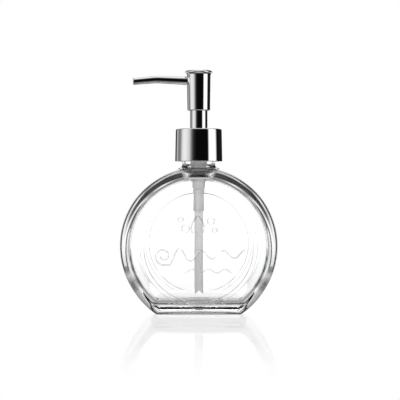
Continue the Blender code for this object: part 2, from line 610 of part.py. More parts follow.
def make_chaplet(parent, finish):
    seal_pocket_z = CHAPLET_TOP_Z - SEAL_HEIGHT - GAP
    boss_radius = SLEEVE_BORE_RADIUS - GAP
    add_object("chaplet", turn([
        (STEM_GUIDE_RADIUS, seal_pocket_z), (STEM_GUIDE_RADIUS, CHAPLET_BOTTOM_Z),
        (BARREL_BORE_RADIUS - GAP, CHAPLET_BOTTOM_Z), (BARREL_BORE_RADIUS - GAP, CHAPLET_FLANGE_Z),
        (CHAPLET_FLANGE_RADIUS, CHAPLET_FLANGE_Z), (CHAPLET_FLANGE_RADIUS, CHAPLET_FLANGE_TOP_Z),
        (boss_radius, CHAPLET_FLANGE_TOP_Z), (boss_radius, CHAPLET_TOP_Z),
        (SEAL_OUTER_RADIUS + SNUG_GAP, CHAPLET_TOP_Z), (SEAL_OUTER_RADIUS + SNUG_GAP, seal_pocket_z),
    ]), finish, parent)


def make_stem_seal(parent, finish):
    bottom = CHAPLET_TOP_Z - SEAL_HEIGHT
    lip = STEM_RADIUS + SNUG_GAP
    add_object("stem_seal", turn([
        (lip, CHAPLET_TOP_Z), (lip + GAP, bottom), (SEAL_OUTER_RADIUS, bottom),
        (SEAL_OUTER_RADIUS, CHAPLET_TOP_Z - GAP), (lip + GAP, CHAPLET_TOP_Z - GAP),
    ]), finish, parent)


def make_guide_sleeve(parent, finish):
    add_object("guide_sleeve", turn([
        (SLEEVE_BORE_RADIUS, SLEEVE_TOP_Z), (SLEEVE_BORE_RADIUS, SLEEVE_BOTTOM_Z),
        (SLEEVE_FOOT_RADIUS, SLEEVE_BOTTOM_Z), (SLEEVE_FOOT_RADIUS, SLEEVE_BOTTOM_Z + SLEEVE_FOOT),
        (SLEEVE_RADIUS, SLEEVE_BOTTOM_Z + SLEEVE_FOOT), (SLEEVE_RADIUS, SLEEVE_TOP_Z),
    ]), finish, parent)


def make_dip_tube(parent, finish):
    top_z = INLET_BOTTOM_Z - GAP
    bore = DIP_TUBE_RADIUS - DIP_TUBE_WALL
    tube = add_object("dip_tube", turn([
        (bore, top_z), (bore, DIP_TUBE_END_Z), (DIP_TUBE_RADIUS, DIP_TUBE_END_Z),
        (DIP_TUBE_RADIUS, top_z),
    ]), finish, parent)

    # A V across the end keeps soap flowing when the tube touches the bottom.
    reach = DIP_TUBE_RADIUS + CUT_OVERSHOOT
    bm = bmesh.new()
    verts = []
    for y in (-reach, reach):
        verts.append([bm.verts.new((x, y, DIP_TUBE_END_Z + z)) for x, z in
                      ((-reach, -CUT_OVERSHOOT), (reach, -CUT_OVERSHOOT), (0, DIP_TUBE_NOTCH))])
    bm.faces.new(verts[0])
    bm.faces.new(verts[1])
    for i in range(3):
        bm.faces.new((verts[0][i], verts[0][(i + 1) % 3], verts[1][(i + 1) % 3], verts[1][i]))
    cut(tube, [add_object("cut_tube_notch", bm, parent=parent)])


def make_spring(parent, finish):
    """A compression spring with closed end turns, between the housing's ledge and the plug."""
    low = SPRING_LEDGE_Z + GAP + SPRING_WIRE / 2
    high = PLUG_BOTTOM_Z - GAP - SPRING_WIRE / 2
    closed_rise = SPRING_WIRE + SPRING_COIL_GAP
    steps = SPRING_COILS * SPRING_STEPS_PER_TURN
    path = []
    for i in range(steps + 1):
        turns = i / SPRING_STEPS_PER_TURN
        angle = 2 * math.pi * turns
        open_share = (turns - 1) / (SPRING_COILS - 2)
        open_rise = high - low - 2 * closed_rise
        z = low + closed_rise * min(turns, 1) + open_rise * max(0, min(1, open_share))
        z += closed_rise * max(0, turns - SPRING_COILS + 1)
        outward = Vector((math.cos(angle), math.sin(angle), 0))
        path.append((outward * SPRING_RADIUS + Vector((0, 0, z)), outward, Vector((0, 0, 1))))
    section = circle_points(SPRING_WIRE / 2, 6)
    add_object("return_spring", sweep(path, [section] * len(path)), finish, parent, 80)


def ball_centre_z():
    """Height at which the ball just clears its cone."""
    slope = math.atan2(BALL_CHAMBER_RADIUS - INLET_RADIUS, SEAT_HEIGHT)
    apex_z = SEAT_BOTTOM_Z - INLET_RADIUS / math.tan(slope)
    return apex_z + (BALL_RADIUS + VALVE_GAP) / math.sin(slope)


def make_ball(parent, finish):
    bm = bmesh.new()
    bmesh.ops.create_icosphere(bm, subdivisions=3, radius=BALL_RADIUS)
    bmesh.ops.translate(bm, vec=(0, 0, ball_centre_z()), verts=bm.verts)
    add_object("check_ball", bm, finish, parent)


# ---------------------------------------------------------------- plunger
def make_piston(parent, finish):
    lip_radius = BARREL_BORE_RADIUS - GAP
    waist = lip_radius - PISTON_WAIST
    add_object("piston", turn([
        (STEM_GUIDE_RADIUS, PISTON_TOP_Z), (STEM_GUIDE_RADIUS, PISTON_BOTTOM_Z),
        (lip_radius, PISTON_BOTTOM_Z), (waist, PISTON_BOTTOM_Z + PISTON_LIP),
        (waist, PISTON_TOP_Z - PISTON_LIP), (lip_radius, PISTON_TOP_Z),
    ]), finish, parent)


def make_stem(parent, finish):
    stem = add_object("stem", turn([
        (STEM_BORE_RADIUS, STEM_TOP_Z), (STEM_BORE_RADIUS, STEM_BOTTOM_Z),
        (STEM_RADIUS, STEM_BOTTOM_Z), (STEM_RADIUS, STEM_SHOULDER_Z),
        (STEM_SHOULDER_RADIUS, STEM_SHOULDER_Z), (STEM_SHOULDER_RADIUS, STEM_SHOULDER_TOP_Z),
        (STEM_RADIUS, STEM_SHOULDER_TOP_Z), (STEM_RADIUS, STEM_TOP_Z),
    ], COARSE), finish, parent)
    port_z = (PISTON_TOP_Z + PISTON_BOTTOM_Z) / 2 + STEM_PORT_RADIUS
    reach = STEM_RADIUS * 2
    port = rod_cutter("cut_stem_port", (-reach, 0, port_z), (reach, 0, port_z), STEM_PORT_RADIUS,
                      12, parent)
    cut(stem, [port])


def make_stem_plug(parent, finish):
    prong_radius = STEM_BORE_RADIUS - SNUG_GAP
    prong_top_z = PLUG_TOP_Z + PLUG_PRONG - GAP
    add_object("stem_plug", turn([
        (0, prong_top_z), (0, PLUG_BOTTOM_Z), (PLUG_RADIUS, PLUG_BOTTOM_Z), (PLUG_RADIUS, PLUG_TOP_Z),
        (prong_radius, PLUG_TOP_Z), (prong_radius, prong_top_z),
    ], COARSE), finish, parent)


# ---------------------------------------------------------------- head
def make_head_shell(parent, finish):
    flare = []
    for i in range(6):
        angle = math.pi / 2 * i / 5
        flare.append((HEAD_LIP_RADIUS - (HEAD_LIP_RADIUS - HEAD_NECK_RADIUS) * math.cos(angle),
                      HEAD_FLARE_Z + (HEAD_LIP_Z - HEAD_FLARE_Z) * math.sin(angle)))
    bottom = HEAD_BOTTOM_RADIUS - HEAD_WALL
    ceiling_z = HEAD_TOP_Z - HEAD_FACE_WALL
    profile = [(0, HEAD_TOP_Z), (0, ceiling_z), (HEAD_NECK_RADIUS - HEAD_WALL, ceiling_z)]
    profile += [(HEAD_NECK_RADIUS - HEAD_WALL, HEAD_FLARE_Z), (bottom, HEAD_BOTTOM_Z)]
    profile += round_corner((bottom, HEAD_BOTTOM_Z), (HEAD_BOTTOM_RADIUS, HEAD_BOTTOM_Z), flare[0],
                            HEAD_HEM_ROUND, 2)
    profile += flare
    profile += [(HEAD_LIP_RADIUS, HEAD_LIP_Z + HEAD_LIP_EDGE), (HEAD_FACE_RADIUS, HEAD_TOP_Z)]
    shell = add_object("head_shell", turn(profile, FINE), finish, parent)
    hole = rod_cutter("cut_nozzle_hole", (-2 * HEAD_LIP_RADIUS, 0, nozzle_z_at(-2 * HEAD_LIP_RADIUS)),
                      (0, 0, nozzle_z_at(0)), NOZZLE_ROOT_RADIUS + SNUG_GAP, parent=parent)
    cut(shell, [hole])


def make_actuator_core(parent, finish):
    skirt_z = HEAD_BOTTOM_Z + CORE_SKIRT_INSET
    skirt_bore = SLEEVE_RADIUS + GAP
    socket = STEM_RADIUS + SNUG_GAP
    top_z = HEAD_TOP_Z - HEAD_FACE_WALL - GAP
    core = add_object("actuator_core", turn([
        (0, top_z), (0, nozzle_z_at(0)), (STEM_BORE_RADIUS, nozzle_z_at(0)),
        (STEM_BORE_RADIUS, STEM_TOP_Z + GAP), (socket, STEM_TOP_Z + GAP), (socket, CORE_CEILING_Z),
        (skirt_bore, CORE_CEILING_Z), (skirt_bore, skirt_z), (CORE_RADIUS, skirt_z), (CORE_RADIUS, top_z),
    ], MEDIUM), finish, parent)
    far = -2 * HEAD_LIP_RADIUS
    socket_hole = rod_cutter("cut_nozzle_socket", (NOZZLE_SOCKET_X + GAP, 0, nozzle_z_at(NOZZLE_SOCKET_X)),
                             (far, 0, nozzle_z_at(far)), NOZZLE_ROOT_RADIUS + SNUG_GAP, parent=parent)
    channel = rod_cutter("cut_soap_channel", (GAP, 0, nozzle_z_at(0)),
                         (far, 0, nozzle_z_at(far)), CHANNEL_RADIUS, 16, parent)
    cut(core, [socket_hole, channel])


def nozzle_z_at(x):
    """Height of the nozzle's axis on its first, rising stretch."""
    return NOZZLE_ROOT_Z + (abs(x) - HEAD_BOTTOM_RADIUS) * math.tan(math.radians(NOZZLE_RISE_DEG))


def nozzle_path(start_x, end_x):
    """Frames along the nozzle: a rising run, a short bend, and a run that falls to the tip."""
    rise = math.radians(NOZZLE_RISE_DEG)
    fall = -math.radians(NOZZLE_DROP_DEG)
    bend_steps = 4
    path = []

    def frame(x, z, slope):
        along = Vector((-math.cos(slope), 0, math.sin(slope)))
        side = Vector((0, 1, 0))
        path.append((Vector((x, 0, z)), side, side.cross(along)))

    frame(start_x, nozzle_z_at(start_x), rise)
    x = NOZZLE_BEND_X + NOZZLE_BEND_HALF
    z = nozzle_z_at(x)
    frame(x, z, rise)
    for i in range(bend_steps):
        middle_slope = rise + (fall - rise) * (i + 0.5) / bend_steps
        step = 2 * NOZZLE_BEND_HALF / bend_steps
        x -= step
        z += step * math.tan(middle_slope)
        frame(x, z, rise + (fall - rise) * (i + 1) / bend_steps)
    frame(end_x, z + (x - end_x) * math.tan(fall), fall)
    return path


def bent_tube(start_x, end_x, outer_at, inner_at, steps):
    """A hollow tube along the nozzle's path; the radii are functions of x."""
    path = nozzle_path(start_x, end_x)
    path_back = list(reversed(path))
    sections = [circle_points(outer_at(place.x), steps) for place, side, up in path]
    sections += [circle_points(inner_at(place.x), steps) for place, side, up in path_back]
    bm = sweep(path + path_back, sections, closed_ends=False)
    rings = len(sections)
    bm.verts.ensure_lookup_table()
    first = bm.verts[:steps]
    last = bm.verts[(rings - 1) * steps:]
    for i in range(steps):
        j = (i + 1) % steps
        bm.faces.new((last[i], last[j], first[j], first[i]))
    return bm


def nozzle_radius_at(x):
    share = max(0, (abs(x) - HEAD_BOTTOM_RADIUS) / (abs(NOZZLE_TIP_X) - HEAD_BOTTOM_RADIUS))
    return NOZZLE_ROOT_RADIUS + (NOZZLE_TIP_RADIUS - NOZZLE_ROOT_RADIUS) * share


def make_nozzle(parent, tube_finish, liner_finish):
    def bore_at(x):
        return nozzle_radius_at(x) - NOZZLE_WALL

    def liner_at(x):
        return bore_at(x) - SNUG_GAP

    add_object("nozzle_tube", bent_tube(NOZZLE_SOCKET_X, NOZZLE_TIP_X, nozzle_radius_at, bore_at, 20),
               tube_finish, parent)
    add_object("nozzle_liner", bent_tube(NOZZLE_SOCKET_X, NOZZLE_TIP_X + LINER_INSET, liner_at,
                                         lambda x: liner_at(x) - LINER_WALL, 16),
               liner_finish, parent)


# ---------------------------------------------------------------- assembly
def main():
    clear_scene()
    glass = material("clear_glass", (0.93, 0.95, 0.95), 0.02, alpha=0.35)
    chrome_collar = material("collar_chrome", (0.78, 0.78, 0.79), 0.08, 1.0)
    chrome_sleeve = material("sleeve_chrome", (0.78, 0.78, 0.79), 0.08, 1.0)
    chrome_head = material("head_chrome", (0.78, 0.78, 0.79), 0.08, 1.0)
    chrome_nozzle = material("nozzle_chrome", (0.78, 0.78, 0.79), 0.08, 1.0)
    cap_plastic = material("cap_plastic", (0.80, 0.80, 0.80), 0.45)
    housing_plastic = material("housing_plastic", (0.66, 0.67, 0.68), 0.35)
    chaplet_plastic = material("chaplet_plastic", (0.78, 0.78, 0.78), 0.4)
    tube_plastic = material("tube_plastic", (0.62, 0.63, 0.64), 0.3)
    core_plastic = material("core_plastic", (0.75, 0.75, 0.76), 0.4)
    stem_plastic = material("stem_plastic", (0.85, 0.85, 0.85), 0.35)
    plug_plastic = material("plug_plastic", (0.85, 0.85, 0.85), 0.35)
    piston_plastic = material("piston_plastic", (0.88, 0.88, 0.88), 0.3)
    liner_plastic = material("liner_plastic", (0.80, 0.80, 0.80), 0.35)
    gasket_rubber = material("gasket_rubber", (0.85, 0.85, 0.84), 0.6)
    seal_rubber = material("seal_rubber", (0.20, 0.20, 0.20), 0.55)
    spring_steel = material("spring_steel", (0.62, 0.62, 0.63), 0.25, 1.0)
    ball_steel = material("ball_steel", (0.72, 0.72, 0.73), 0.12, 1.0)

    lift_joint = add_joint_empty("pump_lift_joint", (0, 0, NECK_TOP_Z))
    collar_joint = add_joint_empty("collar_turn_joint", (0, 0, CAP_BOTTOM_Z), lift_joint)
    press_joint = add_joint_empty("pump_press_joint", (0, 0, PISTON_TOP_Z), lift_joint)
    head_joint = add_joint_empty("head_turn_joint", (0, 0, HEAD_BOTTOM_Z), press_joint)
    ball_joint = add_joint_empty("ball_lift_joint", (0, 0, ball_centre_z()), lift_joint)

    make_bottle(glass)
    make_closure(collar_joint, cap_plastic, chrome_collar)
    make_gasket(lift_joint, gasket_rubber)
    make_housing(lift_joint, housing_plastic)
    make_chaplet(lift_joint, chaplet_plastic)
    make_stem_seal(lift_joint, seal_rubber)
    make_guide_sleeve(lift_joint, chrome_sleeve)
    make_dip_tube(lift_joint, tube_plastic)
    make_spring(lift_joint, spring_steel)
    make_ball(ball_joint, ball_steel)
    make_piston(press_joint, piston_plastic)
    make_stem(head_joint, stem_plastic)
    make_stem_plug(head_joint, plug_plastic)
    make_actuator_core(head_joint, core_plastic)
    make_head_shell(head_joint, chrome_head)
    make_nozzle(head_joint, chrome_nozzle, liner_plastic)


main()
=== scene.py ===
import math

import bpy
import bmesh
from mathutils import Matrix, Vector


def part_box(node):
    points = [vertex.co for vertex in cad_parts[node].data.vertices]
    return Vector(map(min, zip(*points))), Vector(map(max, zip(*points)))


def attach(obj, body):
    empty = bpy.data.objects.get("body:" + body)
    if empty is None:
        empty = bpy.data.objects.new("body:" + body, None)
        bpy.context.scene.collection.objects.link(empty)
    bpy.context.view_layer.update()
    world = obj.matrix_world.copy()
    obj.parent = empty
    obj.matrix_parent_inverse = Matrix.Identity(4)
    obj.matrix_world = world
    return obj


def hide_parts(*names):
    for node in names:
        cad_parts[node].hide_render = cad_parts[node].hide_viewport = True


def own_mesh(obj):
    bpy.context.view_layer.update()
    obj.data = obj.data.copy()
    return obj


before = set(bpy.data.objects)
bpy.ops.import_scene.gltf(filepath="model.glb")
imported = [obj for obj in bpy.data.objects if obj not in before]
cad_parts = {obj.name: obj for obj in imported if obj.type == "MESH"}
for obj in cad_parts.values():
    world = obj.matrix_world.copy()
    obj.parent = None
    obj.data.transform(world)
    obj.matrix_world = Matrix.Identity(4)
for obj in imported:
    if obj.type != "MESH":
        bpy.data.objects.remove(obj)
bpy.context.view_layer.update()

MM = 0.001

# ---------------------------------------------------------------- places read from the imported CAD parts
BOTTLE_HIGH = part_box("bottle")[1]
COLLAR_LOW, COLLAR_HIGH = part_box("collar_shell")
SLEEVE_LOW, SLEEVE_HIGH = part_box("guide_sleeve")
HEAD_LOW, HEAD_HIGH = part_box("head_shell")
HOUSING_LOW, HOUSING_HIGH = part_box("pump_housing")
TUBE_LOW, TUBE_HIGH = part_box("dip_tube")
SPRING_LOW, SPRING_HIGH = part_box("return_spring")

# ---------------------------------------------------------------- flask sizes
NECK_HEIGHT = 17.2 * MM
NECK_TOP_Z = BOTTLE_HIGH.z
DISC_RADIUS = 56.3 * MM
SHOULDER_Z = NECK_TOP_Z - NECK_HEIGHT
DISC_CENTRE_Z = SHOULDER_Z - DISC_RADIUS
HALF_DEPTH = BOTTLE_HIGH.y
SIDE_WALL = 3.8 * MM
FACE_WALL = 3.6 * MM
BASE_WALL = 6.3 * MM
EDGE_INSET = 7.3 * MM
EDGE_DEPTH = 20.0 * MM
HEEL_INSET = 5.0 * MM
HEEL_DEPTH = 14.0 * MM
HEEL_CORNER = 3.0 * MM
HOLLOW_INSET = 7.0 * MM
HOLLOW_DEPTH = 18.0 * MM
HOLLOW_CORNER = 5.0 * MM
MEDALLION_RADIUS = 40.8 * MM
MEDALLION_SLOPE = 3.1 * MM
MEDALLION_RECESS = 0.9 * MM
MEDALLION_STEEPNESS = 1.85                        # drop over run of the panel's steps
MEDALLION_LEVEL = 0.5 * MM                        # level glass kept beside the steps
PUSH_UP_SIZE = (23.0 * MM, 7.5 * MM, 1.0 * MM)    # half length, half width and height
FINISH_RADIUS = 12.5 * MM
FINISH_HEIGHT = 12.0 * MM
FINISH_STEP_HEIGHT = 0.8 * MM                     # slope under the finish
LIP_ROUND = 0.7 * MM
NECK_RADIUS = 11.7 * MM
NECK_BORE_RADIUS = 9.7 * MM
NECK_FLARE = 3.0 * MM
NECK_FLARE_HEIGHT = 3.6 * MM
NECK_FLARE_BELOW_FINISH = 2.6 * MM
THREAD_LEAD = 25.4 * MM / 6
THREAD_TURNS = 1.25
THREAD_HEIGHT = 1.2 * MM
THREAD_ROOT_WIDTH = 2.2 * MM
THREAD_CREST_WIDTH = 1.0 * MM
THREAD_START = 3.5 * MM                           # above the finish's lower end
OVERLAP = 0.3 * MM                                # how far a joined form sinks into its neighbour
OVERSHOOT = 1.0 * MM                              # how far a cutter reaches past what it cuts

# ---------------------------------------------------------------- sizes of the bright pieces
COLLAR_WALL = 0.55 * MM
COLLAR_EDGE = 1.0 * MM           # height of the slope from the top face to the side
COLLAR_TAPER = 0.45 * MM         # how much narrower the top is than the hem
COLLAR_HEM = 2.0 * MM            # width of the turned-in hem
SLEEVE_RADIUS = 6.3 * MM
SLEEVE_WALL = 0.5 * MM
SLEEVE_FOOT = 0.6 * MM
SLEEVE_CLEARANCE = 0.3 * MM
HEAD_BOTTOM_RADIUS = 8.2 * MM
HEAD_NECK_RADIUS = 8.55 * MM
HEAD_WALL = 0.8 * MM
HEAD_FACE_WALL = 1.0 * MM
HEAD_LIP_BELOW_TOP = 1.5 * MM
HEAD_FLARE_BELOW_TOP = 3.2 * MM
HEAD_LIP_BAND = 0.3 * MM         # straight part of the lip
HEAD_FACE_INSET = 1.1 * MM
NOZZLE_ROOT_RADIUS = 3.15 * MM
NOZZLE_TIP_RADIUS = 2.55 * MM
NOZZLE_WALL = 0.45 * MM
NOZZLE_HOLE_CLEARANCE = 0.15 * MM
NOZZLE_RISE = math.radians(2.6)
NOZZLE_FALL = -math.radians(5.0)
NOZZLE_ROOT_Z = HEAD_HIGH.z - 7.2 * MM
NOZZLE_BEND_X = -(HEAD_BOTTOM_RADIUS + 22.2 * MM)
NOZZLE_TIP_X = -(HEAD_BOTTOM_RADIUS + 39.0 * MM)
NOZZLE_SOCKET_X = -3.6 * MM
BEND_HALF = 2.5 * MM
LINER_WALL = 0.45 * MM
LINER_CLEARANCE = 0.15 * MM
LINER_SETBACK = 0.8 * MM         # how far the liner ends inside the tip

# ---------------------------------------------------------------- sizes of the pump
FLANGE_HEIGHT = 1.6 * MM
SOCKET_LENGTH = 12.9 * MM
SOCKET_TOP_RADIUS = 3.68 * MM
SOCKET_FOOT_RADIUS = 4.05 * MM
SOCKET_BORE_RADIUS = 3.3 * MM
BEAD_HEIGHT = 2.3 * MM
BEAD_RADIUS = 4.25 * MM
GROOVE_HEIGHT = 1.6 * MM
GROOVE_RADIUS = 3.85 * MM
VALVE_HEIGHT = 6.6 * MM
VALVE_RADIUS = 4.65 * MM
VALVE_SHOULDER = 1.0 * MM
BALL_CONE_HEIGHT = 1.8 * MM
BALL_CHAMBER_RADIUS = 3.1 * MM
INLET_RADIUS = 1.5 * MM
INLET_HEIGHT = 2.4 * MM
BARREL_RADIUS = 6.1 * MM
BARREL_BORE_RADIUS = 5.2 * MM
BARREL_LEDGE = 0.9 * MM
SMALL_STEP = 0.3 * MM            # height of the slopes between the pump's diameters
TUBE_WALL = 0.65 * MM
NOTCH_HEIGHT = 3.0 * MM
SPRING_WIRE_RADIUS = 0.35 * MM
SPRING_COILS = 7
SPRING_AIR = 0.035 * MM          # between the closed end coils

# Fineness
RIM_STEPS = 360
ROUND_STEPS = 128
NECK_STEPS = 160
PUMP_STEPS = 96
FLARE_STEPS = 14


# ---------------------------------------------------------------- mesh helpers
def new_object(name, bm, material, sharp_deg=38):
    """Turns a bmesh into a smooth-shaded object with one material."""
    bmesh.ops.recalc_face_normals(bm, faces=bm.faces)
    mesh = bpy.data.meshes.new(name)
    bm.to_mesh(mesh)
    bm.free()
    mesh.shade_smooth()
    mesh.set_sharp_from_angle(angle=math.radians(sharp_deg))
    made = bpy.data.objects.new(name, mesh)
    bpy.context.scene.collection.objects.link(made)
    if material:
        mesh.materials.append(material)
    return made


def apply_modifiers(target):
    """Bakes an object's modifiers into its mesh."""
    depsgraph = bpy.context.evaluated_depsgraph_get()
    result = bpy.data.meshes.new_from_object(target.evaluated_get(depsgraph))
    target.modifiers.clear()
    old = target.data
    target.data = result
    bpy.data.meshes.remove(old)


def combine(target, tools, operation):
    """Runs one exact Boolean for each tool and removes the tools."""
    for tool in tools:
        step = target.modifiers.new(tool.name, "BOOLEAN")
        step.operation = operation
        step.solver = "EXACT"
        step.object = tool
    apply_modifiers(target)
    for tool in tools:
        bpy.data.objects.remove(tool, do_unlink=True)


def round_corner(before, corner, after, radius, steps=6):
    """Points of the arc that rounds one corner of a profile."""
    corner = Vector(corner)
    to_before = (Vector(before) - corner).normalized()
    to_after = (Vector(after) - corner).normalized()
    half = to_before.angle(to_after) / 2
    centre = corner + (to_before + to_after).normalized() * (radius / math.sin(half))
    first = (corner + to_before * (radius / math.tan(half)) - centre).normalized()
    last = (corner + to_after * (radius / math.tan(half)) - centre).normalized()
    return [tuple(centre + first.slerp(last, i / steps) * radius) for i in range(steps + 1)]


def rounded(points):
    """An outline from (radius, z, corner radius) points; zero keeps a corner sharp."""
    outline = []
    for i, (radius, z, corner) in enumerate(points):
        if corner:
            before = points[i - 1][:2]
            after = points[(i + 1) % len(points)][:2]
            outline += round_corner(before, (radius, z), after, corner)
        else:
            outline.append((radius, z))
    return outline


def turn(profile, steps=ROUND_STEPS):
    """Spins a closed outline of (radius, z) points round the Z axis."""
    bm = bmesh.new()
    rings = []
    for radius, z in profile:
        if radius <= 0:
            rings.append([bm.verts.new((0, 0, z))])
            continue
        rings.append([bm.verts.new((radius * math.cos(2 * math.pi * i / steps),
                                    radius * math.sin(2 * math.pi * i / steps), z))
                      for i in range(steps)])
    for near, far in zip(rings, rings[1:] + rings[:1]):
        if len(near) == 1 and len(far) == 1:
            continue
        for i in range(steps):
            j = (i + 1) % steps
            if len(near) == 1:
                bm.faces.new((near[0], far[j], far[i]))
            elif len(far) == 1:
                bm.faces.new((near[i], near[j], far[0]))
            else:
                bm.faces.new((near[i], near[j], far[j], far[i]))
    return bm


def circle_points(radius, steps):
    return [(radius * math.cos(2 * math.pi * i / steps), radius * math.sin(2 * math.pi * i / steps))
            for i in range(steps)]


def sweep(path, sections, closed_ends=True):
    """Joins one list of (side, up) points to the next along a path of (place, side, up) frames."""
    bm = bmesh.new()
    rings = []
    for (place, side, up), section in zip(path, sections):
        rings.append([bm.verts.new(place + side * s + up * u) for s, u in section])
    for near, far in zip(rings, rings[1:]):
        for i in range(len(near)):
            j = (i + 1) % len(near)
            bm.faces.new((near[i], near[j], far[j], far[i]))
    if closed_ends:
        bm.faces.new(rings[0])
        bm.faces.new(rings[-1])
    return bm


def rod(name, start, end, radius, steps=64):
    start = Vector(start)
    end = Vector(end)
    axis = (end - start).normalized()
    side = axis.orthogonal().normalized()
    up = axis.cross(side)
    ring = circle_points(radius, steps)
    return new_object(name, sweep([(start, side, up), (end, side, up)], [ring, ring]), None)


def helix_ridge(root_radius, crest_radius, root_width, crest_width, start_z, steps_per_turn=72):
    """A thread that climbs one lead a turn and fades at both ends."""
    path = []
    sections = []
    steps = round(THREAD_TURNS * steps_per_turn)
    fade = steps_per_turn // 8
    for i in range(steps + 1):
        angle = 2 * math.pi * i / steps_per_turn
        outward = Vector((math.cos(angle), math.sin(angle), 0))
        place = Vector((0, 0, start_z + THREAD_LEAD * i / steps_per_turn))
        path.append((place, outward, Vector((0, 0, 1))))
        strength = min(1, (i + 1) / fade, (steps - i + 1) / fade)
        crest = root_radius + (crest_radius - root_radius) * math.sin(strength * math.pi / 2)
        sections.append([(root_radius, -root_width / 2), (crest, -crest_width / 2),
                         (crest, crest_width / 2), (root_radius, root_width / 2)])
    return sweep(path, sections)


# ---------------------------------------------------------------- materials
def blank_material(name):
    made = bpy.data.materials.new(name)
    made.use_nodes = True
    shader = made.node_tree.nodes["Principled BSDF"]
    return made, made.node_tree, shader


def noise(tree, scale, detail=3.0, stretch=None):
    """Object-space noise, so it rides with its piece."""
    coords = tree.nodes.new("ShaderNodeTexCoord")
    texture = tree.nodes.new("ShaderNodeTexNoise")
    texture.inputs["Scale"].default_value = scale
    texture.inputs["Detail"].default_value = detail
    source = coords.outputs["Object"]
    if stretch:
        mapping = tree.nodes.new("ShaderNodeMapping")
        mapping.inputs["Scale"].default_value = stretch
        tree.links.new(source, mapping.inputs["Vector"])
        source = mapping.outputs["Vector"]
    tree.links.new(source, texture.inputs["Vector"])
    return texture.outputs["Fac"]


def remap(tree, value, low, high):
    made = tree.nodes.new("ShaderNodeMapRange")
    made.inputs["To Min"].default_value = low
    made.inputs["To Max"].default_value = high
    tree.links.new(value, made.inputs["Value"])
    return made.outputs["Result"]


def tint(tree, value, dark, light):
    made = tree.nodes.new("ShaderNodeMix")
    made.data_type = "RGBA"
    made.inputs["A"].default_value = (*dark, 1)
    made.inputs["B"].default_value = (*light, 1)
    tree.links.new(value, made.inputs["Factor"])
    return made.outputs["Result"]


def bump(tree, shader, height, strength, distance):
    made = tree.nodes.new("ShaderNodeBump")
    made.inputs["Strength"].default_value = strength
    made.inputs["Distance"].default_value = distance
    tree.links.new(height, made.inputs["Height"])
    tree.links.new(made.outputs["Normal"], shader.inputs["Normal"])


def chrome(name, base=0.93, rough=(0.006, 0.018)):
    """Bright plating: nearly mirror, with a faint haze in its roughness and tint."""
    made, tree, shader = blank_material(name)
    shader.inputs["Metallic"].default_value = 1.0
    haze = noise(tree, 60, 4)
    tree.links.new(remap(tree, haze, *rough), shader.inputs["Roughness"])
    tree.links.new(tint(tree, haze, (base - 0.02,) * 3, (base + 0.02,) * 3), shader.inputs["Base Color"])
    return made


def glass(name):
    """Clear moulded glass with slow waves in its surface."""
    made, tree, shader = blank_material(name)
    shader.inputs["Transmission Weight"].default_value = 1.0
    shader.inputs["IOR"].default_value = 1.5
    shader.inputs["Roughness"].default_value = 0.0
    streaks = noise(tree, 30, 2)
    tree.links.new(tint(tree, streaks, (0.97, 0.975, 0.975), (0.995, 0.998, 0.998)),
                   shader.inputs["Base Color"])
    bump(tree, shader, noise(tree, 26, 1, (1, 1, 0.6)), 0.25, 0.0006)
    return made


def plastic(name, dark, light, roughness, scale=220, rough_spread=0.08):
    """Moulded plastic: slight cloudiness and a fine satin texture."""
    made, tree, shader = blank_material(name)
    cloud = noise(tree, scale * 0.3, 4)
    grain = noise(tree, scale * 12, 2)
    tree.links.new(tint(tree, cloud, dark, light), shader.inputs["Base Color"])
    tree.links.new(remap(tree, grain, roughness - rough_spread, roughness + rough_spread),
                   shader.inputs["Roughness"])
    bump(tree, shader, grain, 0.15, 0.00005)
    shader.inputs["IOR"].default_value = 1.49
    return made


def steel(name, base):
    """Drawn or ground steel with fine lines."""
    made, tree, shader = blank_material(name)
    shader.inputs["Metallic"].default_value = 1.0
    lines = noise(tree, 900, 2, (1, 1, 6))
    tree.links.new(tint(tree, lines, (base - 0.06,) * 3, (base + 0.04,) * 3), shader.inputs["Base Color"])
    tree.links.new(remap(tree, lines, 0.14, 0.3), shader.inputs["Roughness"])
    return made


# ---------------------------------------------------------------- flask
def smooth_step(value):
    value = max(0.0, min(1.0, value))
    return value * value * (3 - 2 * value)


def disc_outline(radius, floor_z, corner):
    """Points (x, z) of a circle with a flat floor and rounded corners, and its lowest arc angle."""
    corner_z = floor_z + corner
    corner_x = math.sqrt((radius - corner) ** 2 - (DISC_CENTRE_Z - corner_z) ** 2)
    low = math.atan2(corner_z - DISC_CENTRE_Z, corner_x)
    arc_steps = round(RIM_STEPS * (math.pi - 2 * low) / (2 * math.pi))
    points = []
    for i in range(arc_steps + 1):
        angle = low + (math.pi - 2 * low) * i / arc_steps
        points.append((radius * math.cos(angle), DISC_CENTRE_Z + radius * math.sin(angle)))
    left = []
    corner_steps = max(8, round(corner / (0.8 * MM)))
    for i in range(1, corner_steps + 1):
        angle = low + (-math.pi / 2 - low) * i / corner_steps
        left.append((-corner_x - corner * math.cos(angle), corner_z + corner * math.sin(angle)))
    floor_steps = max(4, round(2 * corner_x / (1.2 * MM)))
    floor = [(corner_x * (2 * i / floor_steps - 1), floor_z) for i in range(1, floor_steps)]
    right = [(-x, z) for x, z in reversed(left)]
    return points + left + floor + right, low


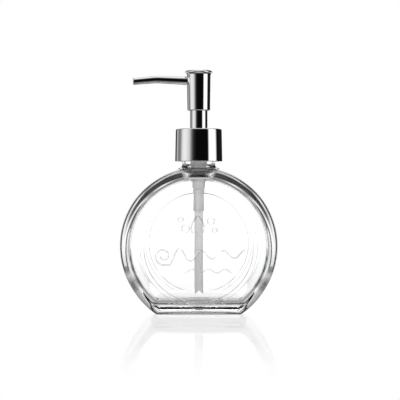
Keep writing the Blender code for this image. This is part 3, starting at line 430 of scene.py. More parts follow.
def disc_solid(radius, floor_z, half_depth, edge, heel, corner, face_rings, edge_steps=18):
    """A round-edged disc across Y with a flat floor; see the CAD solid of the same form."""
    outline, low = disc_outline(radius, floor_z, corner)
    heel_blend = math.radians(24)
    rings = []
    for i in range(edge_steps + 1):
        swing = math.pi / 2 * i / edge_steps
        points = []
        for x, z in outline:
            offset = Vector((x, z - DISC_CENTRE_Z))
            blend = smooth_step((math.atan2(offset.y, abs(offset.x)) - low) / heel_blend)
            inset = heel[0] + (edge[0] - heel[0]) * blend
            depth = heel[1] + (edge[1] - heel[1]) * blend
            inner = offset - offset.normalized() * inset * (1 - math.cos(swing))
            points.append((inner.x, half_depth - depth * (1 - math.sin(swing)), inner.y + DISC_CENTRE_Z))
        rings.append(points)
    for face_radius, drop in face_rings:
        points = []
        for x, z in outline:
            direction = Vector((x, z - DISC_CENTRE_Z)).normalized() * face_radius
            points.append((direction.x, half_depth - drop, direction.y + DISC_CENTRE_Z))
        rings.append(points)

    bm = bmesh.new()
    front = [[bm.verts.new((x, -y, z)) for x, y, z in points] for points in rings]
    back = [[bm.verts.new((x, y, z)) for x, y, z in points] for points in rings]
    strips = list(reversed(front)) + back
    for near, far in zip(strips, strips[1:]):
        for i in range(len(near)):
            j = (i + 1) % len(near)
            bm.faces.new((near[i], near[j], far[j], far[i]))
    bm.faces.new(strips[0])
    bm.faces.new(strips[-1])
    return bm


def medallion_rings():
    """Circles down the edge of the round panel: a small step, a level band, then a deeper step."""
    outer = MEDALLION_RADIUS
    inner = MEDALLION_RADIUS - MEDALLION_SLOPE + MEDALLION_LEVEL
    first_drop = MEDALLION_RECESS / 3
    second_drop = MEDALLION_RECESS - first_drop
    return [(outer + MEDALLION_LEVEL, 0), (outer, 0),
            (outer - first_drop / MEDALLION_STEEPNESS, first_drop), (inner, first_drop),
            (inner - second_drop / MEDALLION_STEEPNESS, MEDALLION_RECESS),
            (inner - 2 * MEDALLION_LEVEL, MEDALLION_RECESS)]


# ---------------------------------------------------------------- raised motif on the panel
MOTIF_WIDTH = 1.0 * MM
MOTIF_CREST = 0.4 * MM
MOTIF_HEIGHT = 0.6 * MM
MOTIF_TAPER_STEPS = 6            # points over which an open end fades
DROP_PLACE = (-0.6 * MM, 63.6 * MM)
DROP_HALF_HEIGHT = 7.0 * MM
DROP_FULLNESS = 0.85
DROP_TIP_GAP = 0.45              # radians left open on each side of the tip
BUBBLES_IN_MM = [(-9.2, 61.2, 2.7), (-12.6, 67.6, 1.7), (8.6, 66.4, 2.4), (11.2, 60.0, 1.6)]
SPIRAL_PLACE = (-24.5 * MM, 42.0 * MM)
SPIRAL_TURNS = 1.3
SPIRAL_INNER_RADIUS = 1.5 * MM
SPIRAL_OUTER_RADIUS = 6.2 * MM
WAVE_RUN = 3.6 * MM              # straight part between the spiral and the wave
WAVE_LENGTH = 53.5 * MM
WAVE_PITCH = 15.3 * MM
WAVE_FIRST_SIZE = 6.2 * MM
WAVE_LAST_SIZE = 2.8 * MM
WAVE_SHRINK = 14.0 * MM          # how soon the wave grows smaller
WAVE_CLIMB = 0.03                # rise for each unit along
LOW_WAVE_PLACE = (-10.0 * MM, 31.5 * MM)
LOW_WAVE_LENGTH = 34.0 * MM
LOW_WAVE_PITCH = 11.3 * MM
LOW_WAVE_SIZE = 1.3 * MM
LOW_WAVE_WIDTH = 0.8 * MM


def add_ridge(bm, points, closed=False, width=MOTIF_WIDTH):
    """A low ridge along (x, z) points on the front panel, tapered at open ends."""
    face_y = -(HALF_DEPTH - MEDALLION_RECESS)
    count = len(points)
    rings = []
    for i, (x, z) in enumerate(points):
        before = Vector(points[i - 1] if closed or i else points[0])
        after = Vector(points[(i + 1) % count] if closed or i < count - 1 else points[-1])
        along = (after - before).normalized()
        side = Vector((-along.y, 0, along.x))
        strength = 1 if closed else min(1, (i + 1) / MOTIF_TAPER_STEPS, (count - i) / MOTIF_TAPER_STEPS)
        half = width / 2 * (0.4 + 0.6 * strength)
        crest = half * MOTIF_CREST / MOTIF_WIDTH
        rise = MOTIF_HEIGHT * (0.35 + 0.65 * strength)
        place = Vector((x, face_y, z))
        outward = Vector((0, -1, 0))
        section = ((-half, -OVERLAP), (-half, 0), (-crest, rise), (crest, rise), (half, 0), (half, -OVERLAP))
        rings.append([bm.verts.new(place + side * across + outward * up) for across, up in section])
    pairs = list(zip(rings, rings[1:]))
    if closed:
        pairs.append((rings[-1], rings[0]))
    for near, far in pairs:
        for i in range(len(near)):
            j = (i + 1) % len(near)
            bm.faces.new((near[i], near[j], far[j], far[i]))
    if not closed:
        bm.faces.new(rings[0])
        bm.faces.new(rings[-1])


def ring_points(x, z, radius, steps=48):
    return [(x + px, z + pz) for px, pz in circle_points(radius, steps)]


def drop_points(steps=72):
    """A teardrop outline, open at its tip."""
    x, z = DROP_PLACE
    points = []
    for i in range(steps):
        t = DROP_TIP_GAP + (2 * math.pi - 2 * DROP_TIP_GAP) * i / (steps - 1)
        reach = DROP_FULLNESS * math.sin(t) * math.sin(t / 2)
        points.append((x + DROP_HALF_HEIGHT * reach, z + DROP_HALF_HEIGHT * math.cos(t)))
    return points


def wave_points(spiral_steps=110, run_steps=6, wave_steps=160):
    """A spiral on the left that runs out into a wave that grows smaller to the right."""
    x, z = SPIRAL_PLACE
    points = []
    for i in range(spiral_steps):
        share = i / spiral_steps
        angle = -math.pi / 2 - 2 * math.pi * SPIRAL_TURNS * (1 - share)
        radius = SPIRAL_INNER_RADIUS + (SPIRAL_OUTER_RADIUS - SPIRAL_INNER_RADIUS) * share
        points.append((x + radius * math.cos(angle), z + radius * math.sin(angle)))
    for i in range(run_steps):
        points.append((x + WAVE_RUN * i / run_steps, z - SPIRAL_OUTER_RADIUS))
    for i in range(wave_steps):
        along = WAVE_LENGTH * i / (wave_steps - 1)
        fade = math.exp(-(along / WAVE_SHRINK) ** 2)
        size = WAVE_LAST_SIZE + (WAVE_FIRST_SIZE - WAVE_LAST_SIZE) * fade
        swing = size * math.cos(2 * math.pi * along / WAVE_PITCH)
        points.append((x + WAVE_RUN + along, z + WAVE_CLIMB * along - swing))
    return points


def low_wave_points(steps=90):
    x, z = LOW_WAVE_PLACE
    points = []
    for i in range(steps):
        along = LOW_WAVE_LENGTH * i / (steps - 1)
        swing = LOW_WAVE_SIZE * math.cos(2 * math.pi * along / LOW_WAVE_PITCH)
        points.append((x + along, z - swing))
    return points


def make_motif():
    """A drop with bubbles over a curling wave: a plain ornament in place of any wording."""
    bm = bmesh.new()
    add_ridge(bm, drop_points())
    for x, z, radius in BUBBLES_IN_MM:
        add_ridge(bm, ring_points(x * MM, z * MM, radius * MM), closed=True)
    add_ridge(bm, wave_points())
    add_ridge(bm, low_wave_points(), width=LOW_WAVE_WIDTH)
    return new_object("motif_tool", bm, None)


def neck_profile():
    """The neck's outside: a flare out of the shoulder, the finish and its rounded lip."""
    finish_bottom_z = NECK_TOP_Z - FINISH_HEIGHT
    flare_top_z = finish_bottom_z - NECK_FLARE_BELOW_FINISH
    flare_radius = NECK_RADIUS + NECK_FLARE
    foot_z = SHOULDER_Z - SIDE_WALL
    profile = [(0, foot_z), (flare_radius, foot_z)]
    for i in range(FLARE_STEPS + 1):
        angle = math.pi / 2 * i / FLARE_STEPS
        profile.append((flare_radius - NECK_FLARE * math.sin(angle),
                        flare_top_z - NECK_FLARE_HEIGHT * math.cos(angle)))
    profile += [(NECK_RADIUS, finish_bottom_z - FINISH_STEP_HEIGHT), (FINISH_RADIUS, finish_bottom_z)]
    profile += round_corner((FINISH_RADIUS, finish_bottom_z), (FINISH_RADIUS, NECK_TOP_Z),
                            (0, NECK_TOP_Z), LIP_ROUND)
    profile += [(0, NECK_TOP_Z)]
    return profile


def make_bottle(material):
    bottle = new_object("flask_glass", disc_solid(
        DISC_RADIUS, 0, HALF_DEPTH, (EDGE_INSET, EDGE_DEPTH), (HEEL_INSET, HEEL_DEPTH), HEEL_CORNER,
        medallion_rings()), material)
    neck = new_object("neck_tool", turn(neck_profile(), NECK_STEPS), None)
    thread = new_object("thread_tool", helix_ridge(
        FINISH_RADIUS - OVERLAP, FINISH_RADIUS + THREAD_HEIGHT, THREAD_ROOT_WIDTH, THREAD_CREST_WIDTH,
        NECK_TOP_Z - FINISH_HEIGHT + THREAD_START), None)
    combine(bottle, [neck, thread, make_motif()], "UNION")

    inner_radius = DISC_RADIUS - SIDE_WALL
    hollow = new_object("hollow_tool", disc_solid(
        inner_radius, BASE_WALL, HALF_DEPTH - FACE_WALL - MEDALLION_RECESS,
        (HOLLOW_INSET, HOLLOW_DEPTH), (HOLLOW_INSET, HOLLOW_DEPTH), HOLLOW_CORNER, []), None)
    bore_foot_z = DISC_CENTRE_Z + inner_radius - HOLLOW_INSET
    mouth_z = NECK_TOP_Z + OVERSHOOT
    bore = new_object("bore_tool", turn([
        (0, mouth_z), (0, bore_foot_z), (NECK_BORE_RADIUS, bore_foot_z),
        (NECK_BORE_RADIUS, NECK_TOP_Z - LIP_ROUND), (NECK_BORE_RADIUS + LIP_ROUND, NECK_TOP_Z),
        (NECK_BORE_RADIUS + LIP_ROUND, mouth_z)], NECK_STEPS), None)
    bm = bmesh.new()
    bmesh.ops.create_uvsphere(bm, u_segments=96, v_segments=48, radius=1)
    bmesh.ops.scale(bm, vec=PUSH_UP_SIZE, verts=bm.verts)
    push_up = new_object("push_up_tool", bm, None)
    combine(bottle, [hollow, bore, push_up], "DIFFERENCE")
    bottle.data.shade_smooth()
    bottle.data.set_sharp_from_angle(angle=math.radians(30))
    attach(bottle, "bottle")
    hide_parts("bottle")
    return bottle


# ---------------------------------------------------------------- bright pieces
def make_collar(material):
    top_z = COLLAR_HIGH.z
    edge_z = top_z - COLLAR_EDGE
    low_z = COLLAR_LOW.z
    bottom_radius = COLLAR_HIGH.x
    top_radius = bottom_radius - COLLAR_TAPER
    hem_radius = bottom_radius - COLLAR_HEM
    wall = COLLAR_WALL
    hole = SLEEVE_RADIUS + SLEEVE_CLEARANCE
    outline = rounded([
        (hole, top_z, 0.12 * MM), (hole, top_z - wall, 0), (top_radius - wall, edge_z - wall, 0.3 * MM),
        (bottom_radius - wall, low_z + wall, 0.2 * MM), (hem_radius, low_z + wall, 0.2 * MM),
        (hem_radius, low_z, 0.2 * MM), (bottom_radius, low_z, 0.45 * MM),
        (top_radius, edge_z, 0.9 * MM)])
    collar = new_object("bright_collar", turn(outline), material)
    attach(collar, "collar")
    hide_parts("collar_shell")


def make_sleeve(material):
    top_z = SLEEVE_HIGH.z
    low_z = SLEEVE_LOW.z
    foot = SLEEVE_HIGH.x
    bore = SLEEVE_RADIUS - SLEEVE_WALL
    edge = 0.15 * MM
    outline = rounded([
        (bore, top_z, edge), (bore, low_z, 0), (foot, low_z, edge), (foot, low_z + SLEEVE_FOOT, edge),
        (SLEEVE_RADIUS, low_z + SLEEVE_FOOT, 0), (SLEEVE_RADIUS, top_z, edge)])
    sleeve = new_object("bright_sleeve", turn(outline), material)
    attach(sleeve, "pump_body")
    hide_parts("guide_sleeve")


def make_head(material):
    top_z = HEAD_HIGH.z
    low_z = HEAD_LOW.z
    lip_radius = HEAD_HIGH.x
    lip_z = top_z - HEAD_LIP_BELOW_TOP
    band_z = lip_z + HEAD_LIP_BAND
    flare_z = top_z - HEAD_FLARE_BELOW_TOP
    bore = HEAD_BOTTOM_RADIUS - HEAD_WALL
    neck_bore = HEAD_NECK_RADIUS - HEAD_WALL
    ceiling_z = top_z - HEAD_FACE_WALL
    outline = [(0, top_z), (0, ceiling_z), (neck_bore, ceiling_z), (neck_bore, flare_z)]
    outline += round_corner((neck_bore, flare_z), (bore, low_z), (HEAD_BOTTOM_RADIUS, low_z), 0.15 * MM)
    outline += round_corner((bore, low_z), (HEAD_BOTTOM_RADIUS, low_z), (HEAD_NECK_RADIUS, flare_z),
                            0.5 * MM, 10)
    for i in range(FLARE_STEPS + 1):
        angle = math.pi / 2 * i / FLARE_STEPS
        outline.append((lip_radius - (lip_radius - HEAD_NECK_RADIUS) * math.cos(angle),
                        flare_z + (lip_z - flare_z) * math.sin(angle)))
    face_radius = lip_radius - HEAD_FACE_INSET
    outline += [(lip_radius, band_z)]
    outline += round_corner((lip_radius, band_z), (face_radius, top_z), (0, top_z), 0.5 * MM)
    head = new_object("press_head", turn(outline), material, 50)
    far = -2 * lip_radius
    hole = rod("hole_tool", (far, 0, nozzle_z_at(far)), (0, 0, nozzle_z_at(0)),
               NOZZLE_ROOT_RADIUS + NOZZLE_HOLE_CLEARANCE)
    combine(head, [hole], "DIFFERENCE")
    head.data.shade_smooth()
    head.data.set_sharp_from_angle(angle=math.radians(50))
    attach(head, "head")
    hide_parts("head_shell")


# ---------------------------------------------------------------- nozzle
def nozzle_z_at(x):
    return NOZZLE_ROOT_Z + (abs(x) - HEAD_BOTTOM_RADIUS) * math.tan(NOZZLE_RISE)


def nozzle_radius_at(x):
    share = max(0, (abs(x) - HEAD_BOTTOM_RADIUS) / (abs(NOZZLE_TIP_X) - HEAD_BOTTOM_RADIUS))
    return NOZZLE_ROOT_RADIUS + (NOZZLE_TIP_RADIUS - NOZZLE_ROOT_RADIUS) * share


def nozzle_path(start_x, end_x, bend_steps=10, straight_steps=16):
    """Frames along the nozzle: a rising run, a short bend, and a run that falls to the tip."""
    path = []

    def frame_at(x, z, slope):
        along = Vector((-math.cos(slope), 0, math.sin(slope)))
        side = Vector((0, 1, 0))
        path.append((Vector((x, 0, z)), side, side.cross(along)))

    x = NOZZLE_BEND_X + BEND_HALF
    for i in range(straight_steps + 1):
        place = start_x + (x - start_x) * i / straight_steps
        frame_at(place, nozzle_z_at(place), NOZZLE_RISE)
    z = nozzle_z_at(x)
    turn_by = NOZZLE_FALL - NOZZLE_RISE
    step = 2 * BEND_HALF / bend_steps
    for i in range(bend_steps):
        x -= step
        z += step * math.tan(NOZZLE_RISE + turn_by * (i + 0.5) / bend_steps)
        frame_at(x, z, NOZZLE_RISE + turn_by * (i + 1) / bend_steps)
    for i in range(1, straight_steps + 1):
        drop = (x - end_x) * i / straight_steps
        frame_at(x - drop, z + drop * math.tan(NOZZLE_FALL), NOZZLE_FALL)
    return path


def bent_tube(start_x, end_x, outer_at, wall, steps=64, edge=0.12 * MM):
    """A hollow tube along the nozzle's path with softened ends."""
    rings = [(place, side, up, outer_at(place.x)) for place, side, up in nozzle_path(start_x, end_x)]
    tip, side, up, radius = rings.pop()
    outside = list(rings)
    near_tip = tip - edge * Vector((-math.cos(NOZZLE_FALL), 0, math.sin(NOZZLE_FALL)))
    rings.append((near_tip, side, up, radius))
    rings.append((tip, side, up, radius - edge))
    rings.append((tip, side, up, radius - wall + edge))
    rings.append((near_tip, side, up, radius - wall))
    for place, side, up, radius in reversed(outside):
        rings.append((place, side, up, radius - wall))
    sections = [circle_points(radius, steps) for place, side, up, radius in rings]
    bm = sweep([(place, side, up) for place, side, up, radius in rings], sections, closed_ends=False)
    bm.verts.ensure_lookup_table()
    first = bm.verts[:steps]
    last = bm.verts[(len(rings) - 1) * steps:]
    for i in range(steps):
        j = (i + 1) % steps
        bm.faces.new((last[i], last[j], first[j], first[i]))
    return bm


def make_nozzle(tube_material, liner_material):
    tube = new_object("spout_tube", bent_tube(NOZZLE_SOCKET_X, NOZZLE_TIP_X, nozzle_radius_at,
                                              NOZZLE_WALL), tube_material, 50)
    liner = new_object("spout_liner", bent_tube(
        NOZZLE_SOCKET_X, NOZZLE_TIP_X + LINER_SETBACK,
        lambda x: nozzle_radius_at(x) - NOZZLE_WALL - LINER_CLEARANCE, LINER_WALL), liner_material, 50)
    for piece, node in ((tube, "nozzle_tube"), (liner, "nozzle_liner")):
        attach(piece, "head")
        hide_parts(node)


# ---------------------------------------------------------------- pump inside the glass
def make_housing(material):
    """Barrel, valve body, groove, bead and tube socket, in one turned shell."""
    flange_radius = HOUSING_HIGH.x
    top_z = HOUSING_HIGH.z
    flange_z = top_z - FLANGE_HEIGHT
    socket_z = HOUSING_LOW.z
    bead_z = socket_z + SOCKET_LENGTH
    socket_top_z = bead_z - SMALL_STEP
    groove_z = bead_z + BEAD_HEIGHT
    valve_z = groove_z + GROOVE_HEIGHT
    barrel_z = valve_z + VALVE_HEIGHT
    ledge_z = barrel_z + BARREL_LEDGE
    seat_z = socket_top_z + INLET_HEIGHT
    outline = rounded([
        (flange_radius, top_z, 0.3 * MM), (flange_radius, flange_z, 0.3 * MM),
        (BARREL_RADIUS, flange_z, 0.3 * MM), (BARREL_RADIUS, barrel_z, 0.5 * MM),
        (VALVE_RADIUS, barrel_z - VALVE_SHOULDER, 0.3 * MM), (VALVE_RADIUS, valve_z, 0.3 * MM),
        (GROOVE_RADIUS, valve_z - SMALL_STEP, 0.15 * MM), (GROOVE_RADIUS, groove_z, 0.15 * MM),
        (BEAD_RADIUS, groove_z - SMALL_STEP, 0.15 * MM), (BEAD_RADIUS, bead_z + SMALL_STEP, 0.15 * MM),
        (SOCKET_TOP_RADIUS, bead_z, 0), (SOCKET_FOOT_RADIUS, socket_z, 0.2 * MM),
        (SOCKET_BORE_RADIUS, socket_z, 0.2 * MM), (SOCKET_BORE_RADIUS, socket_top_z, 0),
        (INLET_RADIUS, socket_top_z, 0), (INLET_RADIUS, seat_z, 0),
        (BALL_CHAMBER_RADIUS, seat_z + BALL_CONE_HEIGHT, 0), (BALL_CHAMBER_RADIUS, ledge_z, 0),
        (BARREL_BORE_RADIUS, ledge_z, 0), (BARREL_BORE_RADIUS, top_z, 0.2 * MM)])
    housing = new_object("pump_cylinder", turn(outline, PUMP_STEPS), material)
    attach(housing, "pump_body")
    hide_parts("pump_housing")


def make_dip_tube(material):
    """A plain tube with a V cut through its lower end, seen from the front."""
    radius = TUBE_HIGH.x
    bore = radius - TUBE_WALL
    low_z = TUBE_LOW.z
    tube = new_object("suction_tube", turn([
        (bore, TUBE_HIGH.z), (bore, low_z), (radius, low_z), (radius, TUBE_HIGH.z)], PUMP_STEPS), material)
    reach = radius + OVERSHOOT
    bm = bmesh.new()
    ends = []
    for y in (-reach, reach):
        ends.append([bm.verts.new((x, y, low_z + z)) for x, z in
                     ((-reach, -OVERSHOOT), (reach, -OVERSHOOT), (0, NOTCH_HEIGHT))])
    bm.faces.new(ends[0])
    bm.faces.new(ends[1])
    for i in range(3):
        j = (i + 1) % 3
        bm.faces.new((ends[0][i], ends[0][j], ends[1][j], ends[1][i]))
    combine(tube, [new_object("notch_tool", bm, None)], "DIFFERENCE")
    tube.data.shade_smooth()
    tube.data.set_sharp_from_angle(angle=math.radians(40))
    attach(tube, "pump_body")
    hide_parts("dip_tube")


def make_spring(material, per_turn=48):
    """A compression spring whose first and last coils are closed."""
    wire = SPRING_WIRE_RADIUS
    coils = SPRING_COILS
    radius = SPRING_HIGH.x - wire
    low = SPRING_LOW.z + wire
    high = SPRING_HIGH.z - wire
    closed = 2 * wire + SPRING_AIR
    path = []
    for i in range(coils * per_turn + 1):
        turns = i / per_turn
        angle = 2 * math.pi * turns
        z = low + closed * min(turns, 1)
        z += (high - low - 2 * closed) * max(0, min(1, (turns - 1) / (coils - 2)))
        z += closed * max(0, turns - coils + 1)
        outward = Vector((math.cos(angle), math.sin(angle), 0))
        path.append((outward * radius + Vector((0, 0, z)), outward, Vector((0, 0, 1))))
    spring = new_object("coil_spring", sweep(path, [circle_points(wire, 16)] * len(path)), material, 60)
    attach(spring, "pump_body")
    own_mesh(spring)
    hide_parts("return_spring")


# ---------------------------------------------------------------- studio
def add_value(tree, operation, *values):
    """A math node; its inputs are numbers or sockets."""
    node = tree.nodes.new("ShaderNodeMath")
    node.operation = operation
    for socket, value in zip(node.inputs, values):
        if isinstance(value, (int, float)):
            socket.default_value = value
        else:
            tree.links.new(value, socket)
    return node.outputs[0]


def ramp(tree, value, stops):
    """A grey ramp over 0 to 1; stops are (position, brightness)."""
    node = tree.nodes.new("ShaderNodeValToRGB")
    band = node.color_ramp
    while len(band.elements) > 1:
        band.elements.remove(band.elements[-1])
    band.elements[0].position = stops[0][0]
    band.elements[0].color = (*(stops[0][1],) * 3, 1)
    for position, brightness in stops[1:]:
        element = band.elements.new(position)
        element.color = (*(brightness,) * 3, 1)
    tree.links.new(value, node.inputs["Fac"])
    return node.outputs["Color"]


def pick(tree, factor, first, second):
    """The first colour at factor 0, the second at 1, and beyond it past 1."""
    node = tree.nodes.new("ShaderNodeMix")
    node.data_type = "RGBA"
    node.clamp_factor = False
    for socket, value in ((node.inputs["Factor"], factor), (node.inputs["A"], first),
                          (node.inputs["B"], second)):
        if isinstance(value, (int, float)):
            socket.default_value = value if socket.type == "VALUE" else (value, value, value, 1)
        else:
            tree.links.new(value, socket)
    return node.outputs["Result"]


# Cards round the object, seen in the plating: (degrees from the camera's side, brightness).
# Zero is straight out of the front face, positive is towards the right hand side.
PLATING_CARDS = [
    (-180, 1.0), (-166, 1.0), (-163, 0.03), (-144, 0.03), (-137, 0.18), (-129, 0.62), (-120, 0.24),
    (-105, 0.2), (-97, 0.35), (-86, 0.80), (-70, 0.90), (-56, 0.76), (-46, 0.60), (-38, 0.25),
    (-30, 0.06), (-22, 0.015), (-12, 0.003), (46, 0.003), (52, 1.0), (55, 1.15), (88, 1.15),
    (94, 0.5), (99, 0.003),
    (112, 0.008), (140, 0.012), (163, 0.02), (166, 1.0), (180, 1.0)]
# The same cards fade out at these heights (straight down 0 to straight up 1, share of the cards)
PLATING_CARD_HEIGHTS = [(0.16, 0.0), (0.28, 1.0), (0.79, 1.0), (0.95, 0.0)]
# and above and below them is this (height, brightness)
PLATING_ABOVE_BELOW = [(0.0, 0.14), (0.1, 0.24), (0.2, 0.2), (0.9, 0.35), (0.945, 0.5), (0.98, 0.95),
                       (1.0, 1.0)]
# Painted reflection: the floor plate glows these dark greys and one pale band only where the plating sees
# it, from its front edge (0) to its back edge (1)
FLOOR_PAINTED_FOR_PLATING = [(0.0, 0.004), (0.4, 0.01), (0.6, 0.03), (0.72, 0.33), (0.8, 0.08), (1.0, 0.04)]
# Painted shade: the floor plate glows these dark bands only where it is seen through the glass, standing in
# for dark flags: (distance to the left or right in metres, brightness)
FLOOR_PAINTED_SHADE_IN_GLASS = [(0.0, 0.95), (0.058, 0.95), (0.066, 0.4), (0.08, 0.2), (0.10, 0.5), (0.12, 0.15),
                  (0.16, 0.35), (0.2, 0.12), (0.3, 0.4), (0.5, 0.9)]
# and from the front edge (0) to the back edge (1), with painted shade that darkens towards the base and is
# darkest just in front of it
FLOOR_PAINTED_SHADE_IN_GLASS_DEPTH = [
    (0.0, 1.0), (0.6, 0.9), (0.8, 0.3), (0.86, 0.3), (0.92, 0.45), (0.932, 0.85), (0.95, 1.0), (1.0, 1.0)]
# Glass takes a little of the light away, and this gives it back
GLASS_GAIN = 1.2
# Surroundings seen through the glass: (degrees away from straight behind, brightness)
GLASS_CARDS = [
    (0, 1.0), (22, 1.0), (29, 0.62), (33, 0.62), (36, 0.9), (38, 0.03), (44, 0.02),
    (46, 0.85), (50, 0.9), (53, 0.03), (58, 0.01), (62, 0.9), (67, 0.9), (70, 0.04), (75, 0.03),
    (79, 1.0), (90, 1.2), (120, 1.7), (180, 1.9)]
# and their dimming with height: (height of the direction from straight down 0 to straight up 1, share)
GLASS_DIMMING = [(0.0, 0.5), (0.35, 0.7), (0.45, 1.0), (0.58, 1.0), (0.64, 0.7), (0.7, 1.0), (0.76, 0.3),
                 (0.82, 0.9), (0.86, 0.3), (1.0, 0.5)]

FLOOR_HALF_WIDTH = 0.6
FLOOR_FRONT_Y = -0.62
FLOOR_RAMP_START_Y = -0.6
FLOOR_BACK_Y = 0.074
FLOOR_Z = -0.0002
MIRROR_START_Y = -0.25           # the floor's mirror image fades in from here
MIRROR_FULL_Y = -0.03
MIRROR_STRENGTH = 0.27
CAMERA_PLACE = (0.0009, -0.700, 0.098)
CAMERA_LENS = 87.5
CAMERA_SHIFT_Y = -0.06125


def make_world():
    """White to the camera and to matt surfaces; studio cards to plating and through glass."""
    world = bpy.data.worlds.new("studio")
    bpy.context.scene.world = world
    world.use_nodes = True
    world.cycles.sampling_method = "NONE"
    tree = world.node_tree
    tree.nodes.clear()
    coords = tree.nodes.new("ShaderNodeTexCoord")
    split = tree.nodes.new("ShaderNodeSeparateXYZ")
    tree.links.new(coords.outputs["Generated"], split.inputs[0])
    x, y, z = split.outputs
    azimuth = add_value(tree, "ARCTAN2", x, add_value(tree, "MULTIPLY", y, -1.0))
    place = add_value(tree, "MULTIPLY_ADD", azimuth, 1 / (2 * math.pi), 0.5)
    height = add_value(tree, "MULTIPLY_ADD", z, 0.5, 0.5)

    plating = ramp(tree, place, [((angle + 180) / 360, b) for angle, b in PLATING_CARDS])
    above = ramp(tree, height, PLATING_ABOVE_BELOW)
    plating = pick(tree, ramp(tree, height, PLATING_CARD_HEIGHTS), above, plating)

    turned = add_value(tree, "ARCCOSINE", y)
    turned = add_value(tree, "MULTIPLY", turned, 1 / math.pi)
    through = ramp(tree, turned, [(angle / 180, b) for angle, b in GLASS_CARDS])
    dimmed = pick(tree, ramp(tree, height, GLASS_DIMMING), 0.0, through)
    behind = add_value(tree, "LESS_THAN", turned, 0.5)
    through = pick(tree, behind, through, dimmed)
    through = pick(tree, GLASS_GAIN, 0.0, through)

    path = tree.nodes.new("ShaderNodeLightPath")
    seen = pick(tree, path.outputs["Is Glossy Ray"], 1.0, plating)
    seen = pick(tree, path.outputs["Is Transmission Ray"], seen, through)
    seen = pick(tree, path.outputs["Is Camera Ray"], seen, 1.0)
    background = tree.nodes.new("ShaderNodeBackground")
    tree.links.new(seen, background.inputs["Color"])
    background.inputs["Strength"].default_value = 1.0
    output = tree.nodes.new("ShaderNodeOutputWorld")
    tree.links.new(background.outputs[0], output.inputs["Surface"])


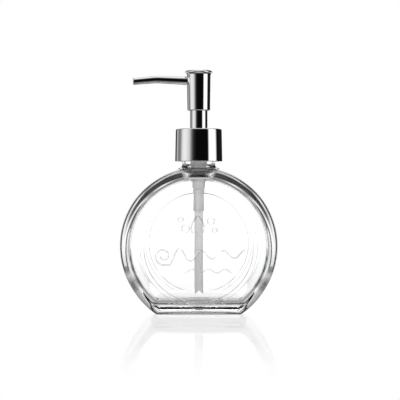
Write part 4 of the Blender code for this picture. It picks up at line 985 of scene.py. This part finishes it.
def make_floor():
    """A pale glossy plate that glows evenly white to the camera, with a painted reflection where plating
    sees it and painted shade where glass sees it; its mirror image of the object fades out towards the
    front.
    """
    bm = bmesh.new()
    corners = [(-FLOOR_HALF_WIDTH, FLOOR_FRONT_Y), (FLOOR_HALF_WIDTH, FLOOR_FRONT_Y),
               (FLOOR_HALF_WIDTH, FLOOR_BACK_Y), (-FLOOR_HALF_WIDTH, FLOOR_BACK_Y)]
    bm.faces.new([bm.verts.new((x, y, FLOOR_Z)) for x, y in corners])
    made, tree, shader = blank_material("pale_plate")
    tree.nodes.remove(shader)
    coords = tree.nodes.new("ShaderNodeTexCoord")
    split = tree.nodes.new("ShaderNodeSeparateXYZ")
    tree.links.new(coords.outputs["Object"], split.inputs[0])
    fade = tree.nodes.new("ShaderNodeMapRange")
    fade.interpolation_type = "SMOOTHSTEP"
    fade.inputs["From Min"].default_value = MIRROR_START_Y
    fade.inputs["From Max"].default_value = MIRROR_FULL_Y
    fade.inputs["To Min"].default_value = 0.0
    fade.inputs["To Max"].default_value = MIRROR_STRENGTH
    tree.links.new(split.outputs["Y"], fade.inputs["Value"])
    span = tree.nodes.new("ShaderNodeMapRange")
    span.inputs["From Min"].default_value = FLOOR_RAMP_START_Y
    span.inputs["From Max"].default_value = FLOOR_BACK_Y
    tree.links.new(split.outputs["Y"], span.inputs["Value"])

    path = tree.nodes.new("ShaderNodeLightPath")
    # Painted light: the glow is white to the camera, a painted reflection to plating and painted shade in
    # dark bands to rays through the glass
    painted_plating_glow = ramp(tree, span.outputs["Result"], FLOOR_PAINTED_FOR_PLATING)
    through = ramp(tree, add_value(tree, "ABSOLUTE", split.outputs["X"]), FLOOR_PAINTED_SHADE_IN_GLASS)
    through = pick(tree, ramp(tree, span.outputs["Result"], FLOOR_PAINTED_SHADE_IN_GLASS_DEPTH), 0.0, through)
    through = pick(tree, GLASS_GAIN, 0.0, through)
    seen = pick(tree, path.outputs["Is Glossy Ray"], 1.0, painted_plating_glow)
    seen = pick(tree, path.outputs["Is Transmission Ray"], seen, through)
    # This glow carries the painted reflection and the painted shade as well as the white
    white = tree.nodes.new("ShaderNodeEmission")
    tree.links.new(seen, white.inputs["Color"])

    mirror = tree.nodes.new("ShaderNodeBsdfGlossy")
    mirror.inputs["Color"].default_value = (1, 1, 1, 1)
    mirror.inputs["Roughness"].default_value = 0.0
    mix = tree.nodes.new("ShaderNodeMixShader")
    direct = add_value(tree, "SUBTRACT", 1.0, path.outputs["Is Glossy Ray"])
    tree.links.new(add_value(tree, "MULTIPLY", fade.outputs["Result"], direct), mix.inputs[0])
    tree.links.new(white.outputs[0], mix.inputs[1])
    tree.links.new(mirror.outputs[0], mix.inputs[2])
    tree.links.new(mix.outputs[0], tree.nodes["Material Output"].inputs["Surface"])
    floor = new_object("floor_plate", bm, made)


def make_camera():
    lens = bpy.data.cameras.new("camera")
    lens.lens = CAMERA_LENS
    lens.sensor_width = 36
    lens.shift_y = CAMERA_SHIFT_Y
    lens.clip_start = 0.01
    camera = bpy.data.objects.new("camera", lens)
    camera.location = CAMERA_PLACE
    camera.rotation_euler = (math.pi / 2, 0, 0)
    bpy.context.scene.collection.objects.link(camera)
    bpy.context.scene.camera = camera


def main():
    make_camera()
    make_world()
    make_floor()
    bpy.context.scene.view_settings.view_transform = "Standard"

    make_bottle(glass("flask_clear_glass"))
    make_collar(chrome("collar_plating"))
    make_sleeve(chrome("sleeve_plating"))
    make_head(chrome("head_plating"))
    make_nozzle(chrome("spout_plating"), plastic("liner_natural", (0.70,) * 3, (0.80,) * 3, 0.35))
    make_housing(plastic("cylinder_natural", (0.56,) * 3, (0.64,) * 3, 0.35))
    make_dip_tube(plastic("tube_natural", (0.72,) * 3, (0.78,) * 3, 0.3))
    make_spring(steel("spring_wire", 0.62))

    kept = {
        "closure_cap": plastic("cap_natural", (0.74,) * 3, (0.80,) * 3, 0.45),
        "neck_gasket": plastic("gasket_foam", (0.78,) * 3, (0.85,) * 3, 0.6, 600),
        "chaplet": plastic("chaplet_natural", (0.72,) * 3, (0.78,) * 3, 0.4),
        "stem_seal": plastic("seal_dark", (0.03,) * 3, (0.06,) * 3, 0.55),
        "check_ball": steel("ball_steel", 0.72),
        "piston": plastic("piston_white", (0.84,) * 3, (0.90,) * 3, 0.3),
        "stem": plastic("stem_natural", (0.80,) * 3, (0.86,) * 3, 0.35),
        "stem_plug": plastic("plug_natural", (0.80,) * 3, (0.86,) * 3, 0.35),
        "actuator_core": plastic("core_grey", (0.68,) * 3, (0.75,) * 3, 0.4),
    }
    for node, material in kept.items():
        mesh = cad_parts[node].data
        mesh.materials.clear()
        mesh.materials.append(material)
        mesh.set_sharp_from_angle(angle=math.radians(35))


main()
